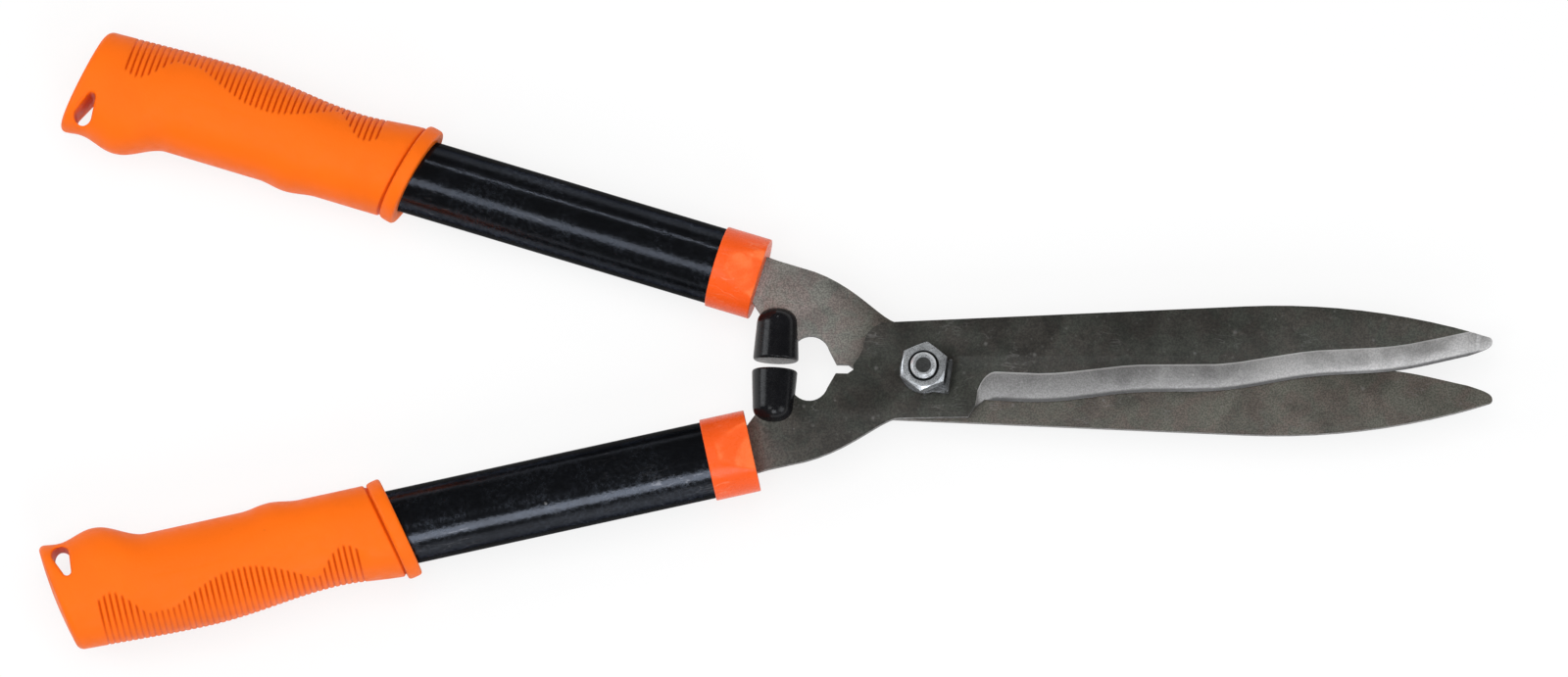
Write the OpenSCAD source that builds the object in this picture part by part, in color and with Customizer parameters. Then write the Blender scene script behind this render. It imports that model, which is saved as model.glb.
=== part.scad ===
// Grass shears: two crossed blades on a bolt, two tube handles with moulded grips.
// Millimetres. The origin is on the pivot axis, midway between the two blades.
// +X runs towards the blade tips, +Y towards the rear half's handle, +Z towards the nut.
// The front half is drawn with its handle at -Y; the rear half is the front one turned
// half a turn about X. A "handle frame" has u along the handle away from the pivot,
// w outwards from the handle's centre line and z up.

/* [Blades] */
// Thickness of the blade plate
plate_t = 3.5; // [2.5:0.1:5]
// Running gap between the two blade plates
plate_gap = 0.2; // [0.1:0.05:0.6]
// Distance from the pivot to the blade tip
tip_x = 219.8; // [190:1:260]
// Height of the tip's centre above the blade's centre line
tip_y = 10.8; // [8:0.1:13]
// Radius of the blade tip
tip_r = 1.6; // [0.8:0.1:2]
// Distance from the tip at which the cutting edge starts to curl up to it
nose_len = 9.5; // [5:0.1:14]
// Height of the back edge beside the pivot
back_y = 19.3; // [17:0.1:23]
// Place along the blade where the straight back starts to curve to the tip
back_x = 124; // [100:1:150]
// Height of the back edge where the curve starts
back_peak_y = 24.6; // [22:0.1:28]
// Depth of the head below the pivot, on the cutting side
head_y = 18.8; // [16:0.1:22]
// Distance from the pivot to the heel step at the root of the cutting edge
heel_x = 17; // [14:0.5:22]
// Width of the heel step
heel_w = 6.2; // [4:0.1:9]
// Depth of the cutting edge below the centre line at its root
edge_root_y = 12; // [9:0.1:15]
// Rise of the cutting edge at the tip
edge_tip_y = 6.2; // [3:0.1:7]
// Belly of the cutting edge, outwards from a straight line
edge_belly = 3.5; // [0:0.1:7]
// Height of the edge's wave, centre to crest
wave_amp = 0.9; // [0:0.05:2]
// Length of one wave of the edge
wave_len = 68; // [30:0.5:90]
// Place along the blade of the first crest
wave_first = 47.5; // [30:0.5:80]
// Width of the ground bevel at its root
bevel_root_w = 11.1; // [7:0.1:13]
// Width of the ground bevel at the tip
bevel_tip_w = 9; // [5:0.1:10]
// Thickness left along the cutting edge
edge_land = 0.5; // [0.2:0.05:1.2]
// Lean of both blades from the handles' middle line
blade_lean = 2.2; // [0:0.1:4]
// Turn that opens each blade a little further
blade_open = 0.1; // [0:0.05:0.5]

/* [Head and tang] */
// Radius of the head's rounded shoulder
shoulder_r = 9.9; // [7:0.1:11]
// Distance from the pivot to the shoulder's centre
shoulder_x = 13.8; // [11:0.1:15]
// Half height of the small slot between the halves
slot_y = 2.1; // [1.2:0.1:4]
// Length of the small slot
slot_len = 4.6; // [3:0.1:7]
// Distance from the pivot to the slot's near end
slot_x = 29.7; // [28:0.1:32]
// Radius of the round notch beside the bumper
notch_r = 7.4; // [6:0.1:8]
// Depth of the notch's centre from the middle line
notch_y = 5.7; // [4:0.1:8]
// Width of the stop prong that carries the bumper
prong_w = 12.2; // [9:0.1:13]
// Gap from the middle line to the prong's end
prong_end_y = 4.2; // [3:0.1:6]
// Share of the blades' lean that the slot and notch take
notch_share = 0.45; // [0:0.05:1]
// Half width of the tang on its inner side
tang_in_w = 9.7; // [7:0.1:11]
// Half width of the tang on its outer side
tang_out_w = 9; // [7:0.1:11]
// Length of the tang past the ferrule's face
tang_depth = 42; // [30:1:60]
// Length of the bend that brings the tang to mid height
joggle_len = 4.4; // [3:0.1:7]

/* [Handles] */
// Angle of each handle from the middle line
handle_angle = 14.7; // [8:0.1:22]
// Distance from the pivot to the handle's centre line
handle_offset = 16; // [12:0.1:20]
// Distance along the handle from the pivot to the ferrule's face
ferrule_u = 71.8; // [68:0.1:80]
// Outer diameter of the handle tube
tube_d = 30; // [26:0.1:31]
// Wall of the handle tube
tube_wall = 1.5; // [1:0.1:3]
// Outer diameter of the ferrule
ferrule_d = 32; // [31:0.1:40]
// Length of the ferrule
ferrule_len = 17.6; // [12:0.1:30]
// Length of the ferrule's solid end
ferrule_nose = 12.4; // [8:0.1:13]
// Depth of the ferrule's sloped flat at its face
flat_depth = 3.1; // [0:0.1:5]
// Length of the ferrule's sloped flat
flat_len = 13.5; // [5:0.1:14]
// Length of the plug inside the tube
plug_len = 38; // [20:1:60]

/* [Bumpers] */
// Distance from the pivot to the bumper's axis, along the middle line
bumper_x = 58; // [56:0.1:62]
// Diameter of the bumper at its striking end
bumper_d = 17.6; // [15.5:0.1:20]
// Diameter of the bumper where its dome starts
bumper_root_d = 16; // [14.5:0.1:18]
// Length of the bumper
bumper_len = 20.8; // [18:0.1:26]
// Length of the bumper's dome
dome_len = 7; // [4:0.1:9]
// Half of the gap between the two bumpers
bumper_gap = 2; // [0.4:0.1:2.8]

/* [Grips] */
// Distance along the handle from the pivot to the flange
grip_u = 213.6; // [190:0.1:240]
// Length of the grip from the flange to the butt
grip_len = 134; // [110:0.1:170]
// Largest half width of the grip's outer side
grip_out_w = 21.3; // [20:0.1:26]
// Half width of the grip's waist on the outer side
grip_waist_w = 16.9; // [16.7:0.1:19]
// Half width of the grip's inner side
grip_in_w = 18.8; // [17.5:0.1:21]
// Height of the finger stop above the inner side
stop_h = 6.5; // [0:0.1:9]
// Half thickness of the grip
grip_half_t = 17.8; // [17:0.1:21]
// Half thickness of the grip at its butt
butt_half_t = 15.4; // [12:0.1:17]
// Diameter of the flange bead
flange_d = 40.8; // [39:0.1:48]
// Width of the flange bead
flange_w = 5; // [3:0.1:8]
// Slant of the flange, as run over width
flange_slant = 0.228; // [0:0.001:0.3]
// Slant of the butt, as run over width
butt_slant = 0.17; // [0:0.001:0.3]
// Depth of solid grip past the end of the tube
butt_solid = 24; // [20:0.5:40]
// Radius of the hang hole's wide end
hang_r = 3.4; // [2.6:0.1:4.5]
// Radius of the hang hole's narrow end
hang_tip_r = 1.6; // [1:0.1:2.5]
// Distance between the hang hole's two ends' centres
hang_len = 7.8; // [4:0.1:10]
// Depth of the hang hole's middle from the butt
hang_in = 6.3; // [5.5:0.1:8]
// Distance of the hang hole's middle inwards of the handle's centre line
hang_w = 12.6; // [11:0.1:14]

/* [Pivot] */
// Diameter of the pivot bolt
bolt_d = 10; // [8:0.1:12]
// Width across flats of the bolt head and the nut
hex_af = 17; // [15:0.5:19]
// Height of the bolt head
bolt_head_h = 6.4; // [4:0.1:9]
// Height of the nut
nut_h = 8; // [6:0.1:11]
// Length of bolt that stands out of the nut
bolt_end_h = 2.4; // [1:0.1:5]
// Diameter of the dish in the bolt's end
dish_d = 6.4; // [3:0.1:7]
// Turn of the nut about the pivot
nut_turn = -5.5; // [-30:0.5:30]
// Diameter of the plain washer under the bolt head
washer_d = 21; // [19:0.5:26]
// Thickness of the plain washer
washer_t = 1.8; // [1:0.1:3]
// Diameter of the tab washer under the nut
tab_washer_d = 19; // [17:0.5:24]
// Thickness of the tab washer
tab_t = 1.4; // [0.8:0.1:2]
// Width of the tab that is bent up beside the nut
tab_w = 12.8; // [6:0.1:14]
// Height of the bent-up tab above the washer's underside
tab_h = 7; // [3:0.1:9]

/* [Fits] */
// Radial running clearance of the pivot bolt
pivot_fit = 0.05; // [0.02:0.01:0.1]
// Clearance of pieces that are pushed together and stay put
push_fit = 0.05; // [0.02:0.01:0.2]
// Running gap between the tab washer and the front blade
washer_gap = 0.1; // [0.05:0.05:0.3]
// Gap between the nut and the bent-up tab
tab_gap = 0.8; // [0.2:0.1:2]

/* [Hidden] */
$fn = 64;

over = 1;
plate_z = plate_gap / 2;
plate_top = plate_z + plate_t;
edge_x = heel_x + heel_w;
tube_bore = tube_d - 2 * tube_wall;
tube_u = ferrule_u + ferrule_nose;
butt_u = grip_u + grip_len;
tube_end_u = butt_u - butt_solid;
tang_end_u = ferrule_u + tang_depth;
washer_z = plate_top + washer_gap;
nut_z = washer_z + tab_t;
head_z = -plate_top - washer_t;
bolt_end_z = nut_z + nut_h + bolt_end_h;
orange = [0.96, 0.40, 0.10];
dark_steel = [0.27, 0.26, 0.24];
zinc = [0.72, 0.73, 0.74];
black_rubber = [0.06, 0.06, 0.07];

// ---- plane geometry ----

function turned(p, a) = [p[0] * cos(a) - p[1] * sin(a), p[0] * sin(a) + p[1] * cos(a)];

function arc(c, r, from, to, n) =
    [for (i = [0:n]) c + r * [cos(from + (to - from) * i / n), sin(from + (to - from) * i / n)]];

// Cubic curve from a to d, leaving towards b and arriving from c.
function curve(a, b, c, d, n) =
    [for (i = [0:n]) let (t = i / n, s = 1 - t) s*s*s*a + 3*s*s*t*b + 3*s*t*t*c + t*t*t*d];

// A point of the handle frame, in the front half's plan.
function from_handle(u, w) = turned([u, handle_offset + w], 180 + handle_angle);

// Cutting edge: a line from heel to tip, less its belly, with a cosine wave along it.
function edge_y(x) =
    let (t = (x - edge_x) / (tip_x - edge_x))
    -edge_root_y + (edge_tip_y + edge_root_y) * t - edge_belly * 4 * t * (1 - t)
    - wave_amp * cos(360 * (x - wave_first) / wave_len);

// The back edge is straight, then an arc that leaves it smoothly and ends on the tip.
back_slope = atan2(back_peak_y - back_y, back_x);
back_end = [tip_x - tip_r, tip_y + tip_r];
back_chord = back_end - [back_x, back_peak_y];
back_bend = back_slope - atan2(back_chord[1], back_chord[0]);
back_r = norm(back_chord) / (2 * sin(back_bend));
back_centre = [back_x + back_r * sin(back_slope), back_peak_y - back_r * cos(back_slope)];
tip_turn = back_slope - 2 * back_bend;

// Near the tip the cutting edge curls up: it leaves at slope nose_rise and arrives upright.
nose_x = tip_x - nose_len;
tip_arc = 60;
nose_rise = 0.34;
nose_lead = 0.57 * nose_len;
nose_full = 0.26 * nose_len;
notch_from = -17;
notch_to = -155;
notch_centre = [-(bumper_x - prong_w / 2 - notch_r), -notch_y];
shoulder_y = back_y - shoulder_x * tan(back_slope) - shoulder_r;
shoulder = [-shoulder_x, shoulder_y];

// Cutting side and back of the blade, in the blade's own frame.
slot_lip = 2.2;
head_end_x = -9;
heel_hollow = 0.9;
blade_line = concat(
    [[head_end_x, -head_y], [heel_x, -head_y + 0.3]],
    [[heel_x + heel_w / 2, -(head_y + edge_root_y) / 2] + heel_hollow * [-0.6, 1]],
    [for (i = [0:60]) let (x = edge_x + (nose_x - edge_x) * i / 60) [x, edge_y(x)]],
    curve(
        [nose_x, edge_y(nose_x)], [nose_x, edge_y(nose_x)] + nose_lead * [1, nose_rise],
            [tip_x, tip_y - nose_full], [tip_x, tip_y], 9
    ),
    arc([tip_x - tip_r, tip_y], tip_r, tip_turn + 90 - tip_arc, 90 + tip_turn, 6),
    arc(back_centre, back_r, 90 + tip_turn + 1, 90 + back_slope, 10),
    arc(shoulder, shoulder_r, 90 + back_slope, 180, 8)
);

// Small slot and round notch between the head and the stop prong.
notch_line = concat(
    [[-(slot_x - 2 * slot_lip), slot_y + slot_lip + 0.6]],
    [[-(slot_x - slot_lip), slot_y - 0.4], [-(slot_x - slot_lip), -slot_y + 1.6], [-slot_x, -slot_y]],
    [[-(slot_x + slot_len), -slot_y]],
    arc(notch_centre, notch_r, notch_from, notch_to, 12)
);

// Stop prong and tang, in the half's plan; the tang's far corners are cut off and a small web
// joins its near one to the prong.
tang_cut = 3;
web_h = 4;
tang_swell = 1;
tang_line = concat(
    [[-(bumper_x - prong_w / 2), -prong_end_y - 1], [-(bumper_x - prong_w / 2 + 1), -prong_end_y]],
    [[-(bumper_x + prong_w / 2 - 1), -prong_end_y], [-(bumper_x + prong_w / 2), -prong_end_y - 1]],
    [[-(bumper_x + prong_w / 2), from_handle(ferrule_u - joggle_len, -tang_in_w)[1] + web_h]],
    [from_handle(ferrule_u, -tang_in_w), from_handle(tang_end_u - tang_cut, -tang_in_w)],
    [from_handle(tang_end_u, tang_cut - tang_in_w), from_handle(tang_end_u, tang_out_w - tang_cut)],
    [from_handle(tang_end_u - tang_cut, tang_out_w)]
);

function plate_points(lean) = concat(
    [for (p = blade_line) turned(p, lean)],
    [for (p = notch_line) turned(p, notch_share * lean)],
    tang_line,
    curve(
        from_handle(ferrule_u - 14, tang_out_w), from_handle(ferrule_u - 36, tang_out_w + tang_swell),
        turned([head_end_x - 8, -head_y], lean), turned([head_end_x - 0.5, -head_y], lean), 12
    )
);

// ---- shared shapes ----

module at_handle() {
    rotate([0, 0, 180 + handle_angle]) translate([0, handle_offset, 0]) children();
}

// Lays a cylinder's axis along the handle, starting at distance u.
module along_handle(u) {
    at_handle() translate([u, 0, 0]) rotate([0, 90, 0]) children();
}

module rear_half() {
    rotate([180, 0, 0]) children();
}

// Side view of the plate, drawn along the handle: flat, then stepped to mid height.
module plate_side_view() {
    bend_u = ferrule_u - joggle_len;
    polygon([
        [-tip_x - 50, plate_z], [bend_u, plate_z], [ferrule_u, -plate_t / 2],
        [tang_end_u + over, -plate_t / 2], [tang_end_u + over, plate_t / 2],
        [ferrule_u, plate_t / 2], [bend_u, plate_top], [-tip_x - 50, plate_top]
    ]);
}

module plate(lean) {
    intersection() {
        translate([0, 0, -plate_t])
            linear_extrude(plate_top + 2 * plate_t) polygon(plate_points(lean));
        at_handle()
            rotate([90, 0, 0]) translate([0, 0, -tip_x])
                linear_extrude(2 * tip_x) plate_side_view();
    }
}

// Inner line of the bevel: parallel to the edge, curling down to the heel at its root.
bevel_curl_x = edge_x + 5;
bevel_curl_len = 8.6;
bevel_curl_h = 15;
function bevel_w(x) = bevel_root_w + (bevel_tip_w - bevel_root_w) * (x - edge_x) / (tip_x - edge_x);
function bevel_y(x) =
    let (s = min(1, max(0, (bevel_curl_x - x) / bevel_curl_len)))
    edge_y(x) + bevel_w(x) - bevel_curl_h * (1 - sqrt(1 - s * s));

// Material ground away above the bevel: a section at each station, joined into one solid.
module bevel_cutter() {
    low_y = -head_y - 4;
    start_x = bevel_curl_x - bevel_curl_len;
    curl_steps = 8;
    steps = 60;
    xs = concat(
        [for (i = [0:curl_steps - 1]) start_x + bevel_curl_len * i / curl_steps],
        [for (i = [0:steps]) bevel_curl_x + (tip_x + 4 - bevel_curl_x) * i / steps]
    );
    pts = [for (x = xs) let (
            y = bevel_y(x),
            fall = (plate_t - edge_land) / bevel_w(x),
            above = [0, over / fall * 0.5]
        )
        each [
            [x, low_y, plate_top - fall * (y - low_y)],
            [x, y + above[1], plate_top + over * 0.5],
            [x, low_y, plate_top + over * 0.5]
        ]];
    n = len(xs);
    polyhedron(pts, concat(
        [[0, 1, 2]],
        [for (i = [0:n - 2], k = [0:2]) let (a = 3 * i + k, b = 3 * i + (k + 1) % 3) [a, b + 3, b]],
        [for (i = [0:n - 2], k = [0:2]) let (a = 3 * i + k, b = 3 * i + (k + 1) % 3) [a, a + 3, b + 3]],
        [[3 * n - 3, 3 * n - 1, 3 * n - 2]]
    ));
}

module blade(lean) {
    difference() {
        plate(lean);
        rotate([0, 0, lean]) bevel_cutter();
        translate([0, 0, -plate_t])
            cylinder(h = plate_top + 2 * plate_t, d = bolt_d + 2 * pivot_fit);
    }
}

// Thimble of rubber: flat striking end with a rounded rim, slight taper, domed far end.
module bumper(lean) {
    r = bumper_d / 2;
    root = bumper_root_d / 2;
    rim = 1;
    dome_round = 0.84;
    dome_y = bumper_len - dome_len;
    difference() {
        translate([-bumper_x, -bumper_gap, plate_z + plate_t / 2])
            rotate([90, 0, 0])
                rotate_extrude()
                    polygon(concat(
                        [[0, 0], [r * 0.5, 0.12]],
                        arc([r - rim, rim + 0.25], rim, -90, 0, 5),
                        [for (i = [0:8]) let (a = 90 * i / 8) [
                            root * signed_pow(cos(a), dome_round),
                            dome_y + dome_len * signed_pow(sin(a), dome_round)
                        ]]
                    ));
        plate(lean);
    }
}

// Room for the tang, from distance u to distance v along the handle.
module tang_slot(u, v) {
    at_handle()
        translate([u, -tang_in_w - push_fit, -plate_t / 2 - push_fit])
            cube([v - u, tang_in_w + tang_out_w + 2 * push_fit, plate_t + 2 * push_fit]);
}

// Plug that fills the tube's end and grips the tang.
module tang_plug() {
    difference() {
        along_handle(tube_u) cylinder(h = plug_len, d = tube_bore - 2 * push_fit);
        tang_slot(tube_u - over, tang_end_u + push_fit);
    }
}

// Collar over the tube's end: solid nose with a slot for the tang and a sloped flat each side.
module ferrule() {
    slope = atan2(flat_depth, flat_len);
    chamfer = 0.4;
    r = ferrule_d / 2;
    difference() {
        along_handle(ferrule_u)
            rotate_extrude()
                polygon([
                    [0, 0], [r - chamfer, 0], [r, chamfer],
                    [r, ferrule_len - chamfer], [r - chamfer, ferrule_len], [0, ferrule_len]
                ]);
        along_handle(tube_u) cylinder(h = ferrule_len, d = tube_d + 2 * push_fit);
        tang_slot(ferrule_u - over, tube_u + over);
        at_handle()
            for (side = [0, 180])
                rotate([side, 0, 0])
                    translate([ferrule_u + flat_len, 0, r])
                        rotate([0, -slope, 0])
                            translate([-2 * flat_len, -r, 0]) cube([2 * flat_len, 2 * r, r]);
    }
}

module tube() {
    along_handle(tube_u + push_fit)
        difference() {
            cylinder(h = tube_end_u - tube_u - 2 * push_fit, d = tube_d);
            translate([0, 0, -over]) cylinder(h = tube_end_u, d = tube_bore);
        }
}

// ---- grip ----

// Smooth bump of height 1 centred on c, reaching zero at c - w and c + w.
function bump(x, c, w) = abs(x - c) >= w ? 0 : (1 + cos(180 * (x - c) / w)) / 2;

// Half widths and half thickness along the grip; s runs from 0 at the flange to 1 at the butt.
throat_w = 2;
ledge_w = 1.4;
butt_in_w = 4.2;
butt_drop = 1.6;
waist_dip = 0.5;
function grip_out(s) =
    grip_waist_w + throat_w * bump(s, 0, 0.22)
    + (grip_out_w - grip_waist_w) * bump(s, 0.62, 0.42)
    + (grip_out_w - grip_waist_w - butt_drop) * bump(s, 1.02, 0.4);
function grip_in(s) =
    grip_in_w + ledge_w * bump(s, 0.31, 0.09) + stop_h * bump(s, 0.815, 0.135)
    + butt_in_w * bump(s, 1.0, 0.2);
function grip_thick(s) =
    grip_half_t - waist_dip * bump(s, 0.25, 0.25) - (grip_half_t - butt_half_t) * bump(s, 1, 0.3);
function grip_slant(s) = -(flange_slant + (butt_slant - flange_slant) * s);

// One section: a rounded oval, scaled by k, on a slanted plane at place s, d further on.
ring_n = 36;
roundness = 2 / 2.25;
function signed_pow(v, p) = sign(v) * pow(abs(v), p);
function grip_ring(s, k, d) =
    let (out = grip_out(s), inn = grip_in(s), t = grip_thick(s), mid = (out - inn) / 2)
    [for (i = [0:ring_n - 1]) let (
            a = 360 * i / ring_n,
            w = mid + k * (out + inn) / 2 * signed_pow(cos(a), roundness),
            z = k * t * signed_pow(sin(a), roundness)
        )
        [grip_u + s * grip_len + d + grip_slant(s) * w, w, z]];

// Rings of the body, then of the rounded, slightly crowned butt.
body_steps = 26;
butt_s = 0.972;
butt_rings = [[1, 0], [0.985, 1.3], [0.95, 2.3], [0.88, 3], [0.7, 3.5], [0.35, 3.7]];
grip_rings = concat(
    [for (i = [0:body_steps - 1]) grip_ring(butt_s * i / body_steps, 1, 0)],
    [for (b = butt_rings) grip_ring(butt_s, b[0], b[1])]
);

module grip_body() {
    n = len(grip_rings);
    m = ring_n;
    polyhedron([for (r = grip_rings) each r], concat(
        [[for (k = [0:m - 1]) k]],
        [for (i = [0:n - 2], k = [0:m - 1]) [i * m + k, (i + 1) * m + k, (i + 1) * m + (k + 1) % m]],
        [for (i = [0:n - 2], k = [0:m - 1]) [i * m + k, (i + 1) * m + (k + 1) % m, i * m + (k + 1) % m]],
        [[for (k = [m - 1:-1:0]) (n - 1) * m + k]]
    ));
}

// Rounded disc that ends the grip, on the flange's slant.
module flange() {
    r = flange_d / 2;
    edge = flange_w / 2;
    translate([grip_u, 0, 0])
        rotate([0, 0, atan(flange_slant)])
            rotate([0, 90, 0])
                rotate_extrude()
                    polygon(concat(
                        [[0, -edge]],
                        arc([r - edge, 0], edge, -90, 90, 12),
                        [[0, edge]]
                    ));
}

// Teardrop through the butt, wide end inwards.
module hang_hole() {
    lift = asin((hang_r - hang_tip_r) / hang_len);
    translate([butt_u - hang_in, -hang_w, -grip_half_t - over])
        rotate([0, 0, atan(butt_slant)])
            linear_extrude(2 * (grip_half_t + over))
                union() {
                    translate([0, -hang_len / 2]) circle(r = hang_r);
                    translate([0, hang_len / 2]) circle(r = hang_tip_r);
                    polygon([
                        [hang_r * cos(lift), -hang_len / 2 + hang_r * sin(lift)],
                        [hang_tip_r * cos(lift), hang_len / 2 + hang_tip_r * sin(lift)],
                        [-hang_tip_r * cos(lift), hang_len / 2 + hang_tip_r * sin(lift)],
                        [-hang_r * cos(lift), -hang_len / 2 + hang_r * sin(lift)]
                    ]);
                }
}

module grip() {
    bore_u = grip_u - 5 * flange_w;
    difference() {
        at_handle() {
            union() {
                grip_body();
                flange();
            }
        }
        along_handle(bore_u) cylinder(h = tube_end_u - bore_u, d = tube_d + 2 * push_fit);
        at_handle() hang_hole();
    }
}

// ---- pivot ----

// Hexagon bar from z = 0 to h, its corners trimmed by a cone at the top and, if asked, below.
module hex(h, trim_below) {
    corner_r = hex_af / 2 / cos(30);
    flat_r = hex_af / 2;
    trim = (corner_r - flat_r) * 0.6;
    low = trim_below ? trim : 0;
    low_r = trim_below ? flat_r : corner_r;
    intersection() {
        rotate([0, 0, 30]) cylinder(h = h, r = corner_r, $fn = 6);
        rotate_extrude()
            polygon([[0, 0], [low_r, 0], [corner_r, low], [corner_r, h - trim], [flat_r, h], [0, h]]);
    }
}

module pivot_bolt() {
    chamfer = 0.9;
    r = bolt_d / 2;
    color(zinc) difference() {
        union() {
            translate([0, 0, head_z]) mirror([0, 0, 1]) hex(bolt_head_h, false);
            translate([0, 0, head_z])
                rotate_extrude()
                    polygon([
                        [0, 0], [r, 0], [r, bolt_end_z - head_z - chamfer],
                        [r - chamfer, bolt_end_z - head_z], [0, bolt_end_z - head_z]
                    ]);
        }
        translate([0, 0, bolt_end_z - 0.5]) cylinder(h = over, d = dish_d);
    }
}

module pivot_nut() {
    r = bolt_d / 2 + push_fit;
    sink = 1.1;
    color(zinc) translate([0, 0, nut_z]) rotate([0, 0, nut_turn]) difference() {
        hex(nut_h, true);
        translate([0, 0, -over]) cylinder(h = nut_h + 2 * over, r = r);
        translate([0, 0, nut_h - sink])
            rotate_extrude() polygon([[0, 0], [r, 0], [r + sink + 0.02, sink + 0.02], [0, sink + 0.02]]);
    }
}

module lock_tab_washer() {
    tab_x = hex_af / 2 + tab_gap;
    tab_y = -2 - tab_w / 2;
    color(zinc) translate([0, 0, washer_z]) rotate([0, 0, nut_turn]) difference() {
        union() {
            cylinder(h = tab_t, d = tab_washer_d);
            translate([0, tab_y, 0]) cube([tab_x + tab_t, tab_w, tab_t]);
            translate([tab_x, tab_y, 0]) cube([tab_t, tab_w, tab_h]);
        }
        translate([0, 0, -over]) cylinder(h = tab_t + 2 * over, d = bolt_d + 2 * push_fit);
    }
}

module head_washer() {
    color(zinc) translate([0, 0, head_z]) difference() {
        cylinder(h = washer_t, d = washer_d);
        translate([0, 0, -over]) cylinder(h = washer_t + 2 * over, d = bolt_d + 2 * push_fit);
    }
}

// ---- the two halves ----

module front_blade() { color(dark_steel) blade(blade_open + blade_lean); }
module front_bumper() { color(black_rubber) bumper(blade_open + blade_lean); }
module front_tang_plug() { color(black_rubber) tang_plug(); }
module front_ferrule() { color(orange) ferrule(); }
module front_tube() { color(black_rubber) tube(); }
module front_grip() { color(orange) grip(); }
module rear_blade() { color(dark_steel) rear_half() blade(blade_open - blade_lean); }
module rear_bumper() { color(black_rubber) rear_half() bumper(blade_open - blade_lean); }
module rear_tang_plug() { color(black_rubber) rear_half() tang_plug(); }
module rear_ferrule() { color(orange) rear_half() ferrule(); }
module rear_tube() { color(black_rubber) rear_half() tube(); }
module rear_grip() { color(orange) rear_half() grip(); }

front_blade();
front_bumper();
front_tang_plug();
front_ferrule();
front_tube();
front_grip();
rear_blade();
rear_bumper();
rear_tang_plug();
rear_ferrule();
rear_tube();
rear_grip();
pivot_bolt();
pivot_nut();
lock_tab_washer();
head_washer();
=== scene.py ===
"""Looks of a pair of hedge shears: grips, tubes, ferrules, bumpers, blades, pivot and stage."""

import math
from types import SimpleNamespace

import bmesh
import bpy
import numpy as np
from bpy.props import FloatProperty, FloatVectorProperty, IntProperty, PointerProperty
from mathutils import Matrix, Vector


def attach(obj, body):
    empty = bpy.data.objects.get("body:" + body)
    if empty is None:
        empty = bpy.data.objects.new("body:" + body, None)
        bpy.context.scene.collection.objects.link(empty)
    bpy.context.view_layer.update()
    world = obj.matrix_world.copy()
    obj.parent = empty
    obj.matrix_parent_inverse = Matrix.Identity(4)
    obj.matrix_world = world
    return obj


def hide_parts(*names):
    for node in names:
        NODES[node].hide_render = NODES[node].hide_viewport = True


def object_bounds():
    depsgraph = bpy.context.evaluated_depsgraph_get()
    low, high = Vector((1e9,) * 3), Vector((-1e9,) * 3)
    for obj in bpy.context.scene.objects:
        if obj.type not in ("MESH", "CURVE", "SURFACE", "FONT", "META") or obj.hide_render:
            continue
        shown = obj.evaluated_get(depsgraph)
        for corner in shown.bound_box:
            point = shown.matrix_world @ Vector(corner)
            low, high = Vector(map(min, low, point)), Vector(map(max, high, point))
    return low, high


bl_info = {
    "name": "Hedge Shears",
    "version": (1, 0, 0),
    "blender": (4, 5, 0),
    "location": "View3D > Sidebar > Shears",
    "description": "Builds the looks of a pair of hedge shears around their packed frame",
    "category": "Object",
}

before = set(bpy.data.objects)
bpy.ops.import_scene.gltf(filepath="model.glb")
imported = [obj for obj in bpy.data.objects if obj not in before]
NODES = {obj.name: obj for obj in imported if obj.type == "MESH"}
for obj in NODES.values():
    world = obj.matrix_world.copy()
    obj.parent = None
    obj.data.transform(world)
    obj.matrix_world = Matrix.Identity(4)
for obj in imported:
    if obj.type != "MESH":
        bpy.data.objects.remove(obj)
CAD_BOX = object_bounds()
MM = 0.001

# Each half's body, and its side: the rear half is the front one turned half a turn about X.
HALVES = {"front": ("front_half", 1.0), "rear": ("rear_half", -1.0)}


# ---- Sizes and colours ----


def length(name, description, value):
    """A length, given here in millimetres and kept in metres."""
    return FloatProperty(
        name=name,
        description=description,
        default=value * MM,
        min=0.0,
        max=1.0,
        precision=5,
        subtype="DISTANCE",
        unit="LENGTH",
    )


def rotation(name, description, degrees):
    """An angle, given here in degrees and kept in radians."""
    return FloatProperty(
        name=name,
        description=description,
        default=math.radians(degrees),
        subtype="ANGLE",
        unit="ROTATION",
    )


def power(name, description, value):
    """A lamp's power in watts."""
    return FloatProperty(
        name=name, description=description, default=value, min=0.0, subtype="POWER", unit="POWER"
    )


def colour(name, description, value):
    """A linear colour."""
    return FloatVectorProperty(
        name=name, description=description, default=value, min=0.0, max=1.0, size=3, subtype="COLOR"
    )


class ShearsHandle(bpy.types.PropertyGroup):
    """Sizes of a handle: its line, tube and ferrule."""

    angle: rotation("Angle", "Angle of each handle from the middle line", 14.7)
    offset: length("Offset", "Distance from the pivot to the handle's centre line", 16.0)
    tube_d: length("Tube", "Outer diameter of the tube", 30.0)
    tube_wall: length("Tube wall", "Thickness of the tube's wall", 1.5)
    tube_from: length("Tube start", "Distance from the pivot to the tube's near end", 84.25)
    tube_to: length("Tube end", "Distance from the pivot to the tube's far end", 323.55)
    socket_d: length("Socket", "Bore of the grip and of the ferrule that the tube fits in", 30.12)
    ferrule_u: length("Ferrule", "Distance from the pivot to the ferrule's face", 71.8)
    ferrule_d: length("Ferrule width", "Outer diameter of the ferrule", 32.0)
    ferrule_len: length("Ferrule length", "Length of the ferrule", 17.6)
    ferrule_nose: length("Ferrule nose", "Distance from the ferrule's face to its socket", 12.5)
    flat_depth: length("Flat depth", "Depth of the ferrule's sloped flat at its face", 3.1)
    flat_len: length("Flat length", "Length of the ferrule's sloped flat", 13.5)


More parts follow.
